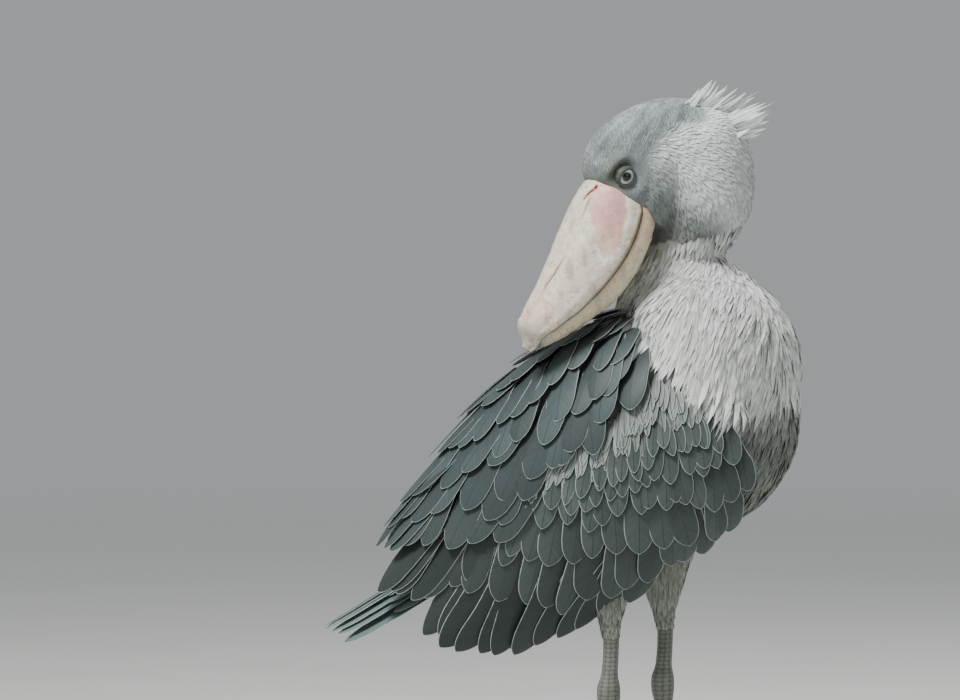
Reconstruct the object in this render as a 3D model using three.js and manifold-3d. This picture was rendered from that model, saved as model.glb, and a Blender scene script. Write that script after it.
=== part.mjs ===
// A life-size shoebill standing still, its head turned back over its right shoulder.
// Millimetres, +Z up, the bird's breast towards +X and its left side towards +Y.

import * as THREE from 'three';
import { mergeVertices } from 'three/addons/utils/BufferGeometryUtils.js';
import Module from 'manifold-3d';

const wasm = await Module();
wasm.setup();

const DEGREE = Math.PI / 180;
const LEFT = 1;
const RIGHT = -1;

// Driving dimensions of the whole bird

const WELD = 2e-3;                 // corners closer than this are one
const SLIVER = 0.2;               // joins leave no faces thinner than this
const EASE = 0.04;                 // how far touching sheets of one surface draw apart
const MEETING_GAP = 0.35;          // space kept between two parts that touch
const BODY_MIDDLE = new THREE.Vector3(-20, 0, 560);
const BODY_PITCH = 39.5 * DEGREE;  // the back slopes down to the tail
const BILL_HEADING = 210 * DEGREE; // seen from above, over the right shoulder
const BILL_PITCH = 55 * DEGREE;    // below the horizontal
const BILL_BASE = new THREE.Vector3(-43, -72, 874);
const EYE_RADIUS = 12.5;
const EYE_PLACE = { forward: -24.5, up: -21, side: 37 };
const LEG_SPREAD = 65;             // from the middle line to each foot
const LEG_STEP = 23;               // the left foot ahead, the right one behind
const LEG_AHEAD = 7;               // both feet before the body's middle
const FEATHER_LINE_HEIGHT = 327;   // where the bare shin starts
const ANKLE_HEIGHT = 262;
const SHIN_RADIUS = 9;

// The body is measured along its own axis. Each row gives, at one distance along it,
// how far the form reaches above the axis, below it and to each side.

const TORSO = [
  { along: -238, above: 14, below: -6, side: 4 },
  { along: -226, above: 28, below: 12, side: 22 },
  { along: -190, above: 62, below: 58, side: 58 },
  { along: -120, above: 108, below: 112, side: 98 },
  { along: -40, above: 128, below: 150, side: 118 },
  { along: 40, above: 124, below: 168, side: 122 },
  { along: 100, above: 104, below: 172, side: 114 },
  { along: 160, above: 62, below: 150, side: 92 },
  { along: 205, above: 18, below: 104, side: 60 },
  { along: 220, above: -22, below: 64, side: 14 },
];

// The surface that the folded wings lie on, carried on behind the body to the wing tips
const MANTLE = [
  { along: -440, above: 40, below: 40, side: 26 },
  { along: -340, above: 66, below: 92, side: 52 },
  { along: -260, above: 92, below: 132, side: 78 },
  { along: -180, above: 112, below: 150, side: 102 },
  { along: -100, above: 128, below: 162, side: 120 },
  { along: -20, above: 134, below: 170, side: 130 },
  { along: 60, above: 126, below: 172, side: 130 },
  { along: 130, above: 92, below: 164, side: 116 },
  { along: 180, above: 54, below: 134, side: 88 },
  { along: 225, above: 16, below: 96, side: 46 },
];

const RUFF = { along: 146, above: 8, length: 118, height: 126, width: 124, hem: 128 };
const HEM_HEIGHT = 15;             // the ruff's hem clears the wing's surface by this
const WING_DROOP = 0.55;           // below 1 the lower half of a wing hangs wide
const WING_CORE_TOP = 7;           // the wing's core over the mantle
const WING_CORE_BOTTOM = -2.5;

// Small helpers for numbers

function mix(a, b, t) {
  return a + (b - a) * t;
}

function clamp(value, low, high) {
  return Math.min(high, Math.max(low, value));
}

function hermite(y0, y1, y2, y3, t) {
  const m1 = (y2 - y0) / 2;
  const m2 = (y3 - y1) / 2;
  const t2 = t * t;
  const t3 = t2 * t;
  return (2 * t3 - 3 * t2 + 1) * y1 + (t3 - 2 * t2 + t) * m1 + (3 * t2 - 2 * t3) * y2 + (t3 - t2) * m2;
}

// Reads a table of stations at any distance, smoothly between its rows
function readTable(table, key, at, column) {
  const last = table.length - 1;
  const x = clamp(at, table[0][key], table[last][key]);
  let i = 0;
  while (i < last - 1 && table[i + 1][key] < x) {
    i += 1;
  }
  const t = (x - table[i][key]) / (table[i + 1][key] - table[i][key]);
  const before = table[Math.max(0, i - 1)][column];
  const after = table[Math.min(last, i + 2)][column];
  return hermite(before, table[i][column], table[i + 1][column], after, t);
}

// A small repeatable random source, so that every build gives the same bird
function seeded(seed) {
  let state = seed;
  return () => {
    state = (state * 1664525 + 1013904223) % 4294967296;
    return state / 4294967296;
  };
}

// Solids: closed meshes, joined and cut

function signedVolume(points, triangles) {
  let sum = 0;
  for (const [i, j, k] of triangles) {
    sum += points[i].dot(new THREE.Vector3().crossVectors(points[j], points[k]));
  }
  return sum / 6;
}

function toSolid(points, triangles, tolerance = 1e-4) {
  const outward = signedVolume(points, triangles) > 0;
  const position = new Float32Array(points.flatMap((p) => [p.x, p.y, p.z]));
  const index = triangles.flatMap(([i, j, k]) => (outward ? [i, j, k] : [i, k, j]));
  let geometry = new THREE.BufferGeometry();
  geometry.setAttribute('position', new THREE.BufferAttribute(position, 3));
  geometry.setIndex(index);
  geometry = mergeVertices(geometry, tolerance);
  const corners = geometry.index.array;
  const kept = [];
  for (let i = 0; i < corners.length; i += 3) {
    const [a, b, c] = [corners[i], corners[i + 1], corners[i + 2]];
    if (a !== b && b !== c && c !== a) {
      kept.push(a, b, c);
    }
  }
  return new wasm.Manifold(new wasm.Mesh({
    numProp: 3,
    vertProperties: new Float32Array(geometry.attributes.position.array),
    triVerts: new Uint32Array(kept),
  }));
}

function readMesh(solid) {
  const { vertProperties, triVerts } = solid.getMesh();
  const points = [];
  const triangles = [];
  for (let i = 0; i < vertProperties.length; i += 3) {
    points.push(new THREE.Vector3(vertProperties[i], vertProperties[i + 1], vertProperties[i + 2]));
  }
  for (let i = 0; i < triVerts.length; i += 3) {
    triangles.push([triVerts[i], triVerts[i + 1], triVerts[i + 2]]);
  }
  return { points, triangles };
}

function geometryToSolid(source, matrix) {
  const geometry = source.clone();
  geometry.deleteAttribute('normal');
  geometry.deleteAttribute('uv');
  geometry.applyMatrix4(matrix);
  const merged = mergeVertices(geometry, 1e-3);
  return new wasm.Manifold(new wasm.Mesh({
    numProp: 3,
    vertProperties: new Float32Array(merged.attributes.position.array),
    triVerts: new Uint32Array(merged.index.array),
  }));
}

// A skin over a row of rings, closed at both ends
function loft(rings) {
  const count = rings[0].length;
  const points = rings.flat();
  const triangles = [];
  for (let i = 0; i < rings.length - 1; i += 1) {
    for (let k = 0; k < count; k += 1) {
      const a = i * count + k;
      const b = i * count + ((k + 1) % count);
      triangles.push([a, b, b + count], [a, b + count, a + count]);
    }
  }
  const closeEnd = (ring, first, forward) => {
    const middle = new THREE.Vector3();
    ring.forEach((p) => middle.addScaledVector(p, 1 / count));
    const centre = points.push(middle) - 1;
    for (let k = 0; k < count; k += 1) {
      const a = first + k;
      const b = first + ((k + 1) % count);
      triangles.push(forward ? [centre, a, b] : [centre, b, a]);
    }
  };
  closeEnd(rings[0], 0, false);
  closeEnd(rings[rings.length - 1], (rings.length - 1) * count, true);
  return toSolid(points, triangles);
}

// A thin vane: rows of { left, right, up }, split alike on both faces
function plate(rows, thickness) {
  const points = [];
  const triangles = [];
  rows.forEach((row, i) => {
    const half = thickness * (i === rows.length - 1 ? 0.3 : 0.5);
    points.push(row.left.clone().addScaledVector(row.up, half));
    points.push(row.right.clone().addScaledVector(row.up, half));
    points.push(row.left.clone().addScaledVector(row.up, -half));
    points.push(row.right.clone().addScaledVector(row.up, -half));
  });
  for (let i = 0; i < rows.length - 1; i += 1) {
    const a = 4 * i;
    const b = a + 4;
    triangles.push([a, a + 1, b + 1], [a, b + 1, b]);
    triangles.push([a + 2, b + 3, a + 3], [a + 2, b + 2, b + 3]);
    triangles.push([a, b, a + 2], [b, b + 2, a + 2]);
    triangles.push([a + 1, a + 3, b + 1], [b + 1, a + 3, b + 3]);
  }
  const e = 4 * (rows.length - 1);
  triangles.push([0, 2, 1], [1, 2, 3], [e, e + 1, e + 2], [e + 1, e + 3, e + 2]);
  return toSolid(points, triangles);
}

// Keeps a solid's largest closed surface: this fills sealed hollows and drops loose scraps
function largest(solid) {
  const rough = readMesh(solid);
  const { points, triangles } = readMesh(toSolid(rough.points, rough.triangles, WELD).simplify(SLIVER));
  const parent = points.map((_, i) => i);
  const root = (i) => {
    let at = i;
    while (parent[at] !== at) {
      parent[at] = parent[parent[at]];
      at = parent[at];
    }
    return at;
  };
  for (const [a, b, c] of triangles) {
    parent[root(a)] = root(b);
    parent[root(b)] = root(c);
  }
  const surfaces = new Map();
  for (const triangle of triangles) {
    const key = root(triangle[0]);
    if (!surfaces.has(key)) {
      surfaces.set(key, []);
    }
    surfaces.get(key).push(triangle);
  }
  let best = null;
  let bestVolume = 0;
  for (const surface of surfaces.values()) {
    const volume = signedVolume(points, surface);
    if (volume > bestVolume) {
      bestVolume = volume;
      best = surface;
    }
  }
  easeTouching(points, best);
  return toSolid(points, best);
}

// Where a surface only touches itself, each side is drawn back a hair towards its own faces
function easeTouching(points, triangles) {
  const neighbours = points.map(() => []);
  for (const [a, b, c] of triangles) {
    neighbours[a].push(b, c);
    neighbours[b].push(c, a);
    neighbours[c].push(a, b);
  }
  const places = new Map();
  points.forEach((point, i) => {
    if (neighbours[i].length === 0) {
      return;
    }
    const key = [point.x, point.y, point.z].map((value) => Math.round(value / WELD)).join(' ');
    places.set(key, [...(places.get(key) ?? []), i]);
  });
  const original = points.map((point) => point.clone());
  for (const sharing of places.values()) {
    if (sharing.length < 2) {
      continue;
    }
    for (const i of sharing) {
      const middle = new THREE.Vector3();
      neighbours[i].forEach((j) => middle.addScaledVector(original[j], 1 / neighbours[i].length));
      const draw = middle.sub(original[i]);
      points[i].addScaledVector(draw.normalize(), EASE);
    }
  }
}

function join(solids) {
  return wasm.Manifold.union(solids);
}

function box(size, centre, rotation = new THREE.Euler()) {
  const matrix = new THREE.Matrix4().compose(
    centre,
    new THREE.Quaternion().setFromEuler(rotation),
    new THREE.Vector3(1, 1, 1),
  );
  return geometryToSolid(new THREE.BoxGeometry(size.x, size.y, size.z), matrix);
}

function ball(radius, centre, columns = 14, rows = 7) {
  const matrix = new THREE.Matrix4().setPosition(centre);
  return geometryToSolid(new THREE.SphereGeometry(radius, columns, rows), matrix);
}

// Frames: the body's axis and the head's axis

const bodyAlong = new THREE.Vector3(Math.cos(BODY_PITCH), 0, Math.sin(BODY_PITCH));
const bodyAbove = new THREE.Vector3(-Math.sin(BODY_PITCH), 0, Math.cos(BODY_PITCH));

function bodyPoint(along, above, side) {
  return BODY_MIDDLE.clone()
    .addScaledVector(bodyAlong, along)
    .addScaledVector(bodyAbove, above)
    .add(new THREE.Vector3(0, side, 0));
}

function toBody(point) {
  const offset = point.clone().sub(BODY_MIDDLE);
  return { along: offset.dot(bodyAlong), above: offset.dot(bodyAbove), side: offset.y };
}

const billForward = new THREE.Vector3(
  Math.cos(BILL_HEADING) * Math.cos(BILL_PITCH),
  Math.sin(BILL_HEADING) * Math.cos(BILL_PITCH),
  -Math.sin(BILL_PITCH),
);
const headLeft = new THREE.Vector3(-Math.sin(BILL_HEADING), Math.cos(BILL_HEADING), 0);
const headUp = new THREE.Vector3().crossVectors(billForward, headLeft);

function headPoint(forward, up, side) {
  return BILL_BASE.clone()
    .addScaledVector(billForward, forward)
    .addScaledVector(headUp, up)
    .addScaledVector(headLeft, side);
}

// A point of a body section: turn is 0 on the back, 90 degrees at the side, 180 below.
// Droop below 1 keeps the lower half wide, as a hanging wing does.
function sectionPoint(table, along, turn, side, grow, droop = 1) {
  const above = readTable(table, 'along', along, 'above');
  const below = readTable(table, 'along', along, 'below');
  const width = readTable(table, 'along', along, 'side');
  const middle = (above - below) / 2;
  const height = (above + below) / 2;
  const sine = Math.abs(Math.sin(turn));
  const reach = turn > Math.PI / 2 ? sine ** droop : sine;
  return bodyPoint(along, middle + (height + grow) * Math.cos(turn), side * (width + grow) * reach);
}

function torsoForm(grow) {
  const segments = 24;
  const rings = 16;
  const first = TORSO[0].along;
  const last = TORSO[TORSO.length - 1].along;
  const list = [];
  for (let i = 0; i <= rings; i += 1) {
    const along = mix(first - grow, last + grow, i / rings);
    const ring = [];
    for (let k = 0; k < segments; k += 1) {
      const turn = (2 * Math.PI * k) / segments;
      const side = turn > Math.PI ? RIGHT : LEFT;
      const folded = turn > Math.PI ? 2 * Math.PI - turn : turn;
      ring.push(sectionPoint(TORSO, along, folded, side, grow));
    }
    list.push(ring);
  }
  return loft(list);
}

// Torso

const torso = torsoForm(0);
const torsoGrown = torsoForm(MEETING_GAP);

// Neck: the lower lobe with its ruff, and the hood that carries the head

// Polar 0 is the lobe's front; past a quarter turn it runs on as a straight sleeve
function ruffPoint(polar, around, grow) {
  const length = RUFF.length + grow;
  const quarter = Math.PI / 2;
  const along = RUFF.along + length * (polar < quarter ? Math.cos(polar) : quarter - polar);
  const round = polar < quarter ? Math.sin(polar) : 1;
  const above = RUFF.above + (RUFF.height + grow) * round * Math.cos(around);
  return bodyPoint(along, above, (RUFF.width + grow) * round * Math.sin(around));
}

function ruffForm(grow) {
  const rings = [];
  const hemAngle = Math.PI / 2 + (RUFF.along - RUFF.hem + grow) / (RUFF.length + grow);
  const ringCount = 8;
  const segments = 32;
  for (let i = 0; i <= ringCount; i += 1) {
    const polar = mix(0.06, hemAngle, i / ringCount);
    const ring = [];
    for (let k = 0; k < segments; k += 1) {
      ring.push(ruffPoint(polar, (2 * Math.PI * k) / segments, grow));
    }
    rings.push(ring);
  }
  return loft(rings);
}

// The neck climbs from the lobe through a waist into the hood behind the head
const NECK = [
  { x: 84, y: 0, z: 700, across: 66, ahead: 84 },
  { x: 70, y: 0, z: 730, across: 65, ahead: 90 },
  { x: 70, y: 0, z: 756, across: 58, ahead: 78 },
  { x: 71, y: 0, z: 785, across: 46, ahead: 47 },
  { x: 76, y: -2, z: 812, across: 53, ahead: 54 },
  { x: 82, y: -4, z: 842, across: 61, ahead: 64 },
  { x: 83, y: -6, z: 874, across: 63, ahead: 66 },
  { x: 78, y: -10, z: 905, across: 61, ahead: 68 },
  { x: 76, y: -14, z: 934, across: 53, ahead: 61 },
  { x: 76, y: -14, z: 954, across: 38, ahead: 48 },
  { x: 70, y: -14, z: 968, across: 18, ahead: 24 },
];

function neckForm(grow) {
  const rings = [];
  const steps = 16;
  const segments = 24;
  for (let i = 0; i <= steps; i += 1) {
    const z = mix(NECK[0].z, NECK[NECK.length - 1].z, i / steps);
    const at = (column) => readTable(NECK, 'z', z, column);
    const ring = [];
    for (let k = 0; k < segments; k += 1) {
      const angle = (2 * Math.PI * k) / segments;
      ring.push(new THREE.Vector3(
        at('x') + (at('ahead') + grow) * Math.cos(angle),
        at('y') + (at('across') + grow) * Math.sin(angle),
        z,
      ));
    }
    rings.push(ring);
  }
  return loft(rings);
}

// Head: sections across the bill's direction, back from the bill's base

const HEAD = [
  { forward: -156, up: -58, down: -72, side: 8 },
  { forward: -148, up: -38, down: -92, side: 26 },
  { forward: -130, up: -14, down: -104, side: 40 },
  { forward: -105, up: 5, down: -112, side: 48 },
  { forward: -80, up: 17, down: -116, side: 51 },
  { forward: -55, up: 24, down: -116, side: 51 },
  { forward: -32, up: 24, down: -114, side: 50 },
  { forward: -14, up: 18, down: -108, side: 48 },
  { forward: 0, up: 4, down: -100, side: 46 },
];

function headForm(grow) {
  const rings = [];
  const steps = 16;
  const segments = 24;
  for (let i = 0; i <= steps; i += 1) {
    const forward = mix(HEAD[0].forward, HEAD[HEAD.length - 1].forward, i / steps);
    const at = (column) => readTable(HEAD, 'forward', forward, column);
    const middle = (at('up') + at('down')) / 2;
    const height = (at('up') - at('down')) / 2 + grow;
    const end = i === 0 ? -grow : (i === steps ? grow : 0);
    const ring = [];
    for (let k = 0; k < segments; k += 1) {
      const angle = (2 * Math.PI * k) / segments;
      const flat = Math.sign(Math.cos(angle)) * Math.abs(Math.cos(angle)) ** 0.85;
      ring.push(headPoint(
        forward + end,
        middle + height * Math.sin(angle),
        (at('side') + grow) * flat,
      ));
    }
    rings.push(ring);
  }
  return loft(rings);
}

// Bill: each row gives, along the bill, the ridge, the cutting edge, the lower line
// and the half widths of both halves.

const BILL = [
  { forward: -10, ridge: -3, edge: -57, low: -94, upper: 42, lower: 41 },
  { forward: 0, ridge: 1, edge: -63, low: -103, upper: 47, lower: 46 },
  { forward: 28, ridge: 0, edge: -71, low: -108, upper: 49, lower: 48 },
  { forward: 60, ridge: -5, edge: -75, low: -108, upper: 49, lower: 47 },
  { forward: 100, ridge: -13, edge: -73, low: -104, upper: 46, lower: 43 },
  { forward: 140, ridge: -19, edge: -67, low: -91, upper: 39, lower: 35 },
  { forward: 170, ridge: -22, edge: -58, low: -79, upper: 31, lower: 26 },
  { forward: 190, ridge: -27, edge: -53, low: -68, upper: 23, lower: 15 },
  { forward: 201, ridge: -36, edge: -56, low: -63, upper: 15, lower: 7 },
];

// The nail hooks down over the tip of the lower half
const NAIL = [
  { forward: 196, ridge: -31, low: -64, side: 17 },
  { forward: 203, ridge: -37, low: -66, side: 14 },
  { forward: 208, ridge: -44, low: -66, side: 9 },
  { forward: 210, ridge: -52, low: -64, side: 3 },
];

const MOUTH_LINE = 0.5;            // half of the slit between the two halves of the bill

function upperBill() {
  const rings = [];
  const steps = 17;
  const arch = 12;
  for (let i = 0; i <= steps; i += 1) {
    const forward = mix(BILL[0].forward, BILL[BILL.length - 1].forward, i / steps);
    const at = (column) => readTable(BILL, 'forward', forward, column);
    const edge = at('edge') + MOUTH_LINE;
    const ring = [];
    for (let k = 0; k <= arch; k += 1) {
      const angle = (Math.PI * k) / arch;
      const wide = Math.sign(Math.cos(angle)) * Math.abs(Math.cos(angle)) ** 0.8;
      const keel = k === arch / 2 ? 2.2 : 0;
      const groove = Math.abs(k - arch / 2) === 1 ? -1.2 : 0;
      const height = (at('ridge') - edge) * Math.sin(angle) ** 0.75;
      ring.push(headPoint(forward, edge + height + keel + groove, at('upper') * wide));
    }
    ring.push(headPoint(forward, edge + 2, -at('upper') * 0.55));
    ring.push(headPoint(forward, edge + 2, at('upper') * 0.55));
    rings.push(ring);
  }
  return loft(rings);
}

function billNail() {
  const rings = NAIL.map((row) => {
    const ring = [];
    for (let k = 0; k < 12; k += 1) {
      const angle = (2 * Math.PI * k) / 12;
      const middle = (row.ridge + row.low) / 2;
      const height = (row.ridge - row.low) / 2;
      ring.push(headPoint(row.forward, middle + height * Math.sin(angle), row.side * Math.cos(angle)));
    }
    return ring;
  });
  return loft(rings);
}

function lowerBill() {
  const rings = [];
  const steps = 15;
  const arch = 10;
  const end = 192;
  for (let i = 0; i <= steps; i += 1) {
    const forward = mix(BILL[0].forward, end, i / steps);
    const at = (column) => readTable(BILL, 'forward', forward, column);
    const edge = at('edge') - MOUTH_LINE;
    const ring = [];
    for (let k = 0; k <= arch; k += 1) {
      const angle = (Math.PI * k) / arch;
      const wide = Math.sign(Math.cos(angle)) * Math.abs(Math.cos(angle)) ** 0.7;
      ring.push(headPoint(forward, edge + (at('low') - edge) * Math.sin(angle) ** 0.8, at('lower') * wide));
    }
    rings.push(ring);
  }
  return loft(rings);
}

// The nostril is a slit in the groove beside the ridge, near the feathers
function nostrilCut(side) {
  const rings = [4, 9, 17, 22].map((forward, i) => {
    const half = i === 0 || i === 3 ? 0.5 : 1.6;
    const ring = [];
    for (let k = 0; k < 8; k += 1) {
      const angle = (2 * Math.PI * k) / 8;
      ring.push(headPoint(forward, -12 + half * Math.cos(angle) + 4 * Math.sin(angle),
        side * (24 + 9 * Math.sin(angle))));
    }
    return ring;
  });
  return loft(rings);
}

// Feathers

const VANE_SHAPE = [
  { at: 0, width: 0.5 },
  { at: 0.34, width: 1 },
  { at: 0.8, width: 0.84 },
  { at: 1, width: 0.2 },
];

// Turns a centre line, its outward directions and widths into one vane
function vaneAlong(path, shape, width, thickness, tilt) {
  const rows = path.map((stop, i) => {
    const before = path[Math.max(0, i - 1)].place;
    const after = path[Math.min(path.length - 1, i + 1)].place;
    const forward = after.clone().sub(before).normalize();
    const across = new THREE.Vector3().crossVectors(forward, stop.out).normalize();
    const up = new THREE.Vector3().crossVectors(across, forward).normalize();
    const half = (width * shape[i].width) / 2;
    const lift = half * tilt;
    return {
      left: stop.place.clone().addScaledVector(across, half).addScaledVector(up, lift),
      right: stop.place.clone().addScaledVector(across, -half).addScaledVector(up, -lift),
      up,
    };
  });
  return plate(rows, thickness);
}

// A feather that starts in the wing's core and lies back along the mantle
function mantleVane({ side, along, turn, length, width, lean, rise, base, tilt }) {
  const girth = 125;
  const path = VANE_SHAPE.map(({ at }) => {
    const place = (grow) => sectionPoint(
      MANTLE,
      along - length * at * Math.cos(lean),
      Math.max(0.02, turn + (length * at * Math.sin(lean)) / girth),
      side,
      grow,
      WING_DROOP,
    );
    const height = base + rise * at ** 0.8;
    const point = place(height);
    return { place: point, out: place(height + 10).sub(point).normalize() };
  });
  return vaneAlong(path, VANE_SHAPE, width, VANE_THICKNESS, side * tilt);
}

const VANE_THICKNESS = 1.1;

// Rows of feathers on one wing, from its hidden edge outwards. Places are along the body
// and round it in degrees; each value runs from the row's first feather to its last.
const WING_ROWS = [
  { count: 6, along: [30, -110], turn: [122, 98], length: [190, 215], width: [42, 38],
    lean: [26, 12], rise: 6, base: 3 },
  { count: 7, along: [100, -60], turn: [116, 106], length: [118, 150], width: [40, 40],
    lean: [44, 22], rise: 7, base: 4 },
  { count: 6, along: [132, -10], turn: [106, 100], length: [84, 105], width: [36, 38],
    lean: [50, 30], rise: 8, base: 4.5 },
  { count: 5, along: [132, 20], turn: [88, 86], length: [66, 84], width: [34, 36],
    lean: [54, 34], rise: 8, base: 5 },
  { count: 5, along: [-76, -112], turn: [90, 30], length: [178, 172], width: [44, 40],
    lean: [10, -2], rise: 8, base: 4.5 },
  { count: 5, along: [20, -62], turn: [68, 14], length: [135, 150], width: [46, 44],
    lean: [30, 2], rise: 9, base: 5 },
  { count: 4, along: [76, 12], turn: [54, 12], length: [114, 125], width: [46, 44],
    lean: [50, 6], rise: 9, base: 5.5 },
  { count: 4, along: [112, 80], turn: [46, 14], length: [94, 100], width: [42, 40],
    lean: [60, 14], rise: 9, base: 6 },
];

// The wing's core is a curved slab between the body and the feathers. A taller and wider
// one, by margin degrees, is the room that the wing and its feathers need.
function wingCore(side, top, margin) {
  const rings = [];
  const from = 168;
  const to = -165;
  const steps = 11;
  const across = 7;
  for (let i = 0; i <= steps; i += 1) {
    const t = i / steps;
    const along = mix(from + margin, to - margin, t);
    const round = Math.sqrt(Math.max(0, 1 - (2 * t - 1) ** 4));
    const high = (mix(60, 5, Math.min(1, round * 1.05)) - margin) * DEGREE;
    const low = (mix(70, 126, round ** 0.6) + margin) * DEGREE;
    const ring = [];
    for (let k = 0; k <= across; k += 1) {
      const turn = mix(high, low, k / across);
      ring.push(sectionPoint(MANTLE, along, turn, side, top, WING_DROOP));
    }
    for (let k = across; k >= 0; k -= 1) {
      const turn = mix(high, low, k / across);
      ring.push(sectionPoint(MANTLE, along, turn, side, WING_CORE_BOTTOM, WING_DROOP));
    }
    rings.push(ring);
  }
  return loft(rings);
}

function wingFeathers(side) {
  const random = seeded(7);
  const vanes = [];
  for (const row of WING_ROWS) {
    for (let i = 0; i < row.count; i += 1) {
      const t = i / (row.count - 1);
      vanes.push(mantleVane({
        side,
        along: mix(...row.along, t),
        turn: (mix(...row.turn, t) + (random() - 0.5) * 2) * DEGREE,
        length: mix(...row.length, t) * (0.97 + 0.06 * random()),
        width: mix(...row.width, t),
        lean: (mix(...row.lean, t) + (random() - 0.5) * 4) * DEGREE,
        rise: row.rise,
        base: row.base,
        tilt: 0.06,
      }));
    }
  }
  return vanes;
}

function mantleShell(from, to, grow) {
  const rings = [];
  for (let i = 0; i <= 6; i += 1) {
    const along = mix(from, to, i / 6);
    const ring = [];
    for (let k = 0; k < 24; k += 1) {
      const turn = (2 * Math.PI * k) / 24;
      const folded = turn > Math.PI ? 2 * Math.PI - turn : turn;
      ring.push(sectionPoint(MANTLE, along, folded, turn > Math.PI ? RIGHT : LEFT, grow, WING_DROOP));
    }
    rings.push(ring);
  }
  return loft(rings);
}

// The space over the wing that the ruff's hem hangs in, and what lies under that space
const HEM_FROM = 66;

function hemSpace() {
  return mantleShell(HEM_FROM, 235, 90).subtract(mantleShell(HEM_FROM - 5, 240, HEM_HEIGHT));
}

function hemFloor() {
  return mantleShell(HEM_FROM - 30, RUFF.hem - MEETING_GAP, HEM_HEIGHT + MEETING_GAP);
}

function midlineSlab() {
  const size = new THREE.Vector3(900, 2 * MEETING_GAP, 900);
  return box(size, BODY_MIDDLE);
}

function wing(side) {
  const feathers = wingFeathers(side);
  const whole = join([wingCore(side, WING_CORE_TOP, 0), ...feathers]);
  const cut = join([
    torsoGrown,
    ruffForm(MEETING_GAP),
    neckForm(MEETING_GAP),
    thighForm(side, 2 * MEETING_GAP),
    hemSpace(),
    midlineSlab(),
  ]);
  return largest(whole.subtract(cut));
}

// The ruff's plumes hang from the lobe, tier over tier, past its hem

const PLUME_THICKNESS = 1.6;
const PLUME_SHAPE = [
  { at: 0, width: 0.7 },
  { at: 0.35, width: 1 },
  { at: 0.72, width: 0.7 },
  { at: 1, width: 0.12 },
];
const PLUME_FALL = new THREE.Vector3(-0.3, 0, -1).normalize();
const PLUME_TIERS = [
  { beforeHem: 0.2, count: 24, length: 60, width: 27, lift: 2 },
  { beforeHem: 0.62, count: 16, length: 68, width: 30, lift: 5 },
];

// How far from the lobe's pole its surface still stands clear of the body
function hemPolar(around) {
  let polar = 0.4;
  while (polar < Math.PI / 2 + 0.15) {
    const place = toBody(ruffPoint(polar, around, 0));
    const above = readTable(TORSO, 'along', place.along, 'above');
    const below = readTable(TORSO, 'along', place.along, 'below');
    const width = readTable(TORSO, 'along', place.along, 'side');
    const high = (place.above - (above - below) / 2) / ((above + below) / 2);
    if (Math.hypot(high, place.side / width) < 1.04) {
      return polar;
    }
    polar += 0.02;
  }
  return polar;
}

// Moves a point out, away from the body's axis, until it clears the body or the wing
function liftClear(point, lift) {
  const place = toBody(point);
  const overWing = place.along < RUFF.hem + 8;
  const table = overWing ? MANTLE : TORSO;
  const clear = (overWing ? HEM_HEIGHT + 2 : 2.5) + lift;
  const above = readTable(table, 'along', place.along, 'above');
  const below = readTable(table, 'along', place.along, 'below');
  const width = readTable(table, 'along', place.along, 'side') + clear;
  const middle = (above - below) / 2;
  const height = (above + below) / 2 + clear;
  const reach = Math.hypot((place.above - middle) / height, place.side / width);
  const scale = Math.max(1, 1 / reach);
  return bodyPoint(place.along, middle + (place.above - middle) * scale, place.side * scale);
}

function plume(around, polar, length, width, lift) {
  const step = 0.01;
  const path = [];
  let at = { polar, around };
  PLUME_SHAPE.forEach((stop, i) => {
    if (i > 0) {
      const travel = length * (stop.at - PLUME_SHAPE[i - 1].at);
      const here = ruffPoint(at.polar, at.around, 0);
      const down = ruffPoint(at.polar + step, at.around, 0).sub(here).divideScalar(step);
      const round = ruffPoint(at.polar, at.around + step, 0).sub(here).divideScalar(step);
      const a = PLUME_FALL.dot(down) / down.length();
      const b = PLUME_FALL.dot(round) / round.length();
      const total = Math.hypot(a, b);
      at = {
        polar: at.polar + (travel * Math.max(a, 0.35 * total)) / total / down.length(),
        around: at.around + (travel * b) / total / round.length(),
      };
    }
    const height = i === 0 ? -3 : lift * Math.min(1, stop.at * 2);
    const low = ruffPoint(at.polar, at.around, height);
    const out = ruffPoint(at.polar, at.around, height + 10).sub(low).normalize();
    path.push({ place: i === 0 ? low : liftClear(low, height), out });
  });
  return vaneAlong(path, PLUME_SHAPE, width, PLUME_THICKNESS, 0.05);
}

function ruffPlumes() {
  const random = seeded(21);
  const plumes = [];
  for (const tier of PLUME_TIERS) {
    for (let i = 0; i < tier.count; i += 1) {
      const around = (2 * Math.PI * (i + 0.5 * random())) / tier.count;
      const polar = hemPolar(around) - tier.beforeHem;
      plumes.push(plume(around, polar, tier.length * (0.85 + 0.3 * random()), tier.width, tier.lift));
    }
  }
  return plumes;
}

// Tail: a closed fan of long vanes from the rump

const TAIL_COUNT = 8;
const TAIL_ROOT = { along: -205, above: 22 };
const TAIL_LENGTH = 222;

function tailVane(index) {
  const spread = (index / (TAIL_COUNT - 1)) * 2 - 1;
  const fold = Math.abs(spread);
  const path = VANE_SHAPE.map(({ at }) => {
    const reach = TAIL_LENGTH * (1 - 0.1 * fold) * at;
    const place = bodyPoint(
      TAIL_ROOT.along - reach,
      TAIL_ROOT.above + 0.13 * reach - 14 * fold * fold - 3 * Math.sign(spread) * fold,
      spread * (9 + 20 * at),
    );
    return { place, out: bodyPoint(0, 1, 0.5 * spread).sub(BODY_MIDDLE).normalize() };
  });
  return vaneAlong(path, VANE_SHAPE, 27, 1.2, 0.08);
}

// The fleshy root that the tail feathers stand in
const TAIL_CORE = [
  { along: -196, height: 12, width: 27 },
  { along: -215, height: 12, width: 27 },
  { along: -240, height: 10.5, width: 23 },
  { along: -262, height: 7.5, width: 16 },
];

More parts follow.
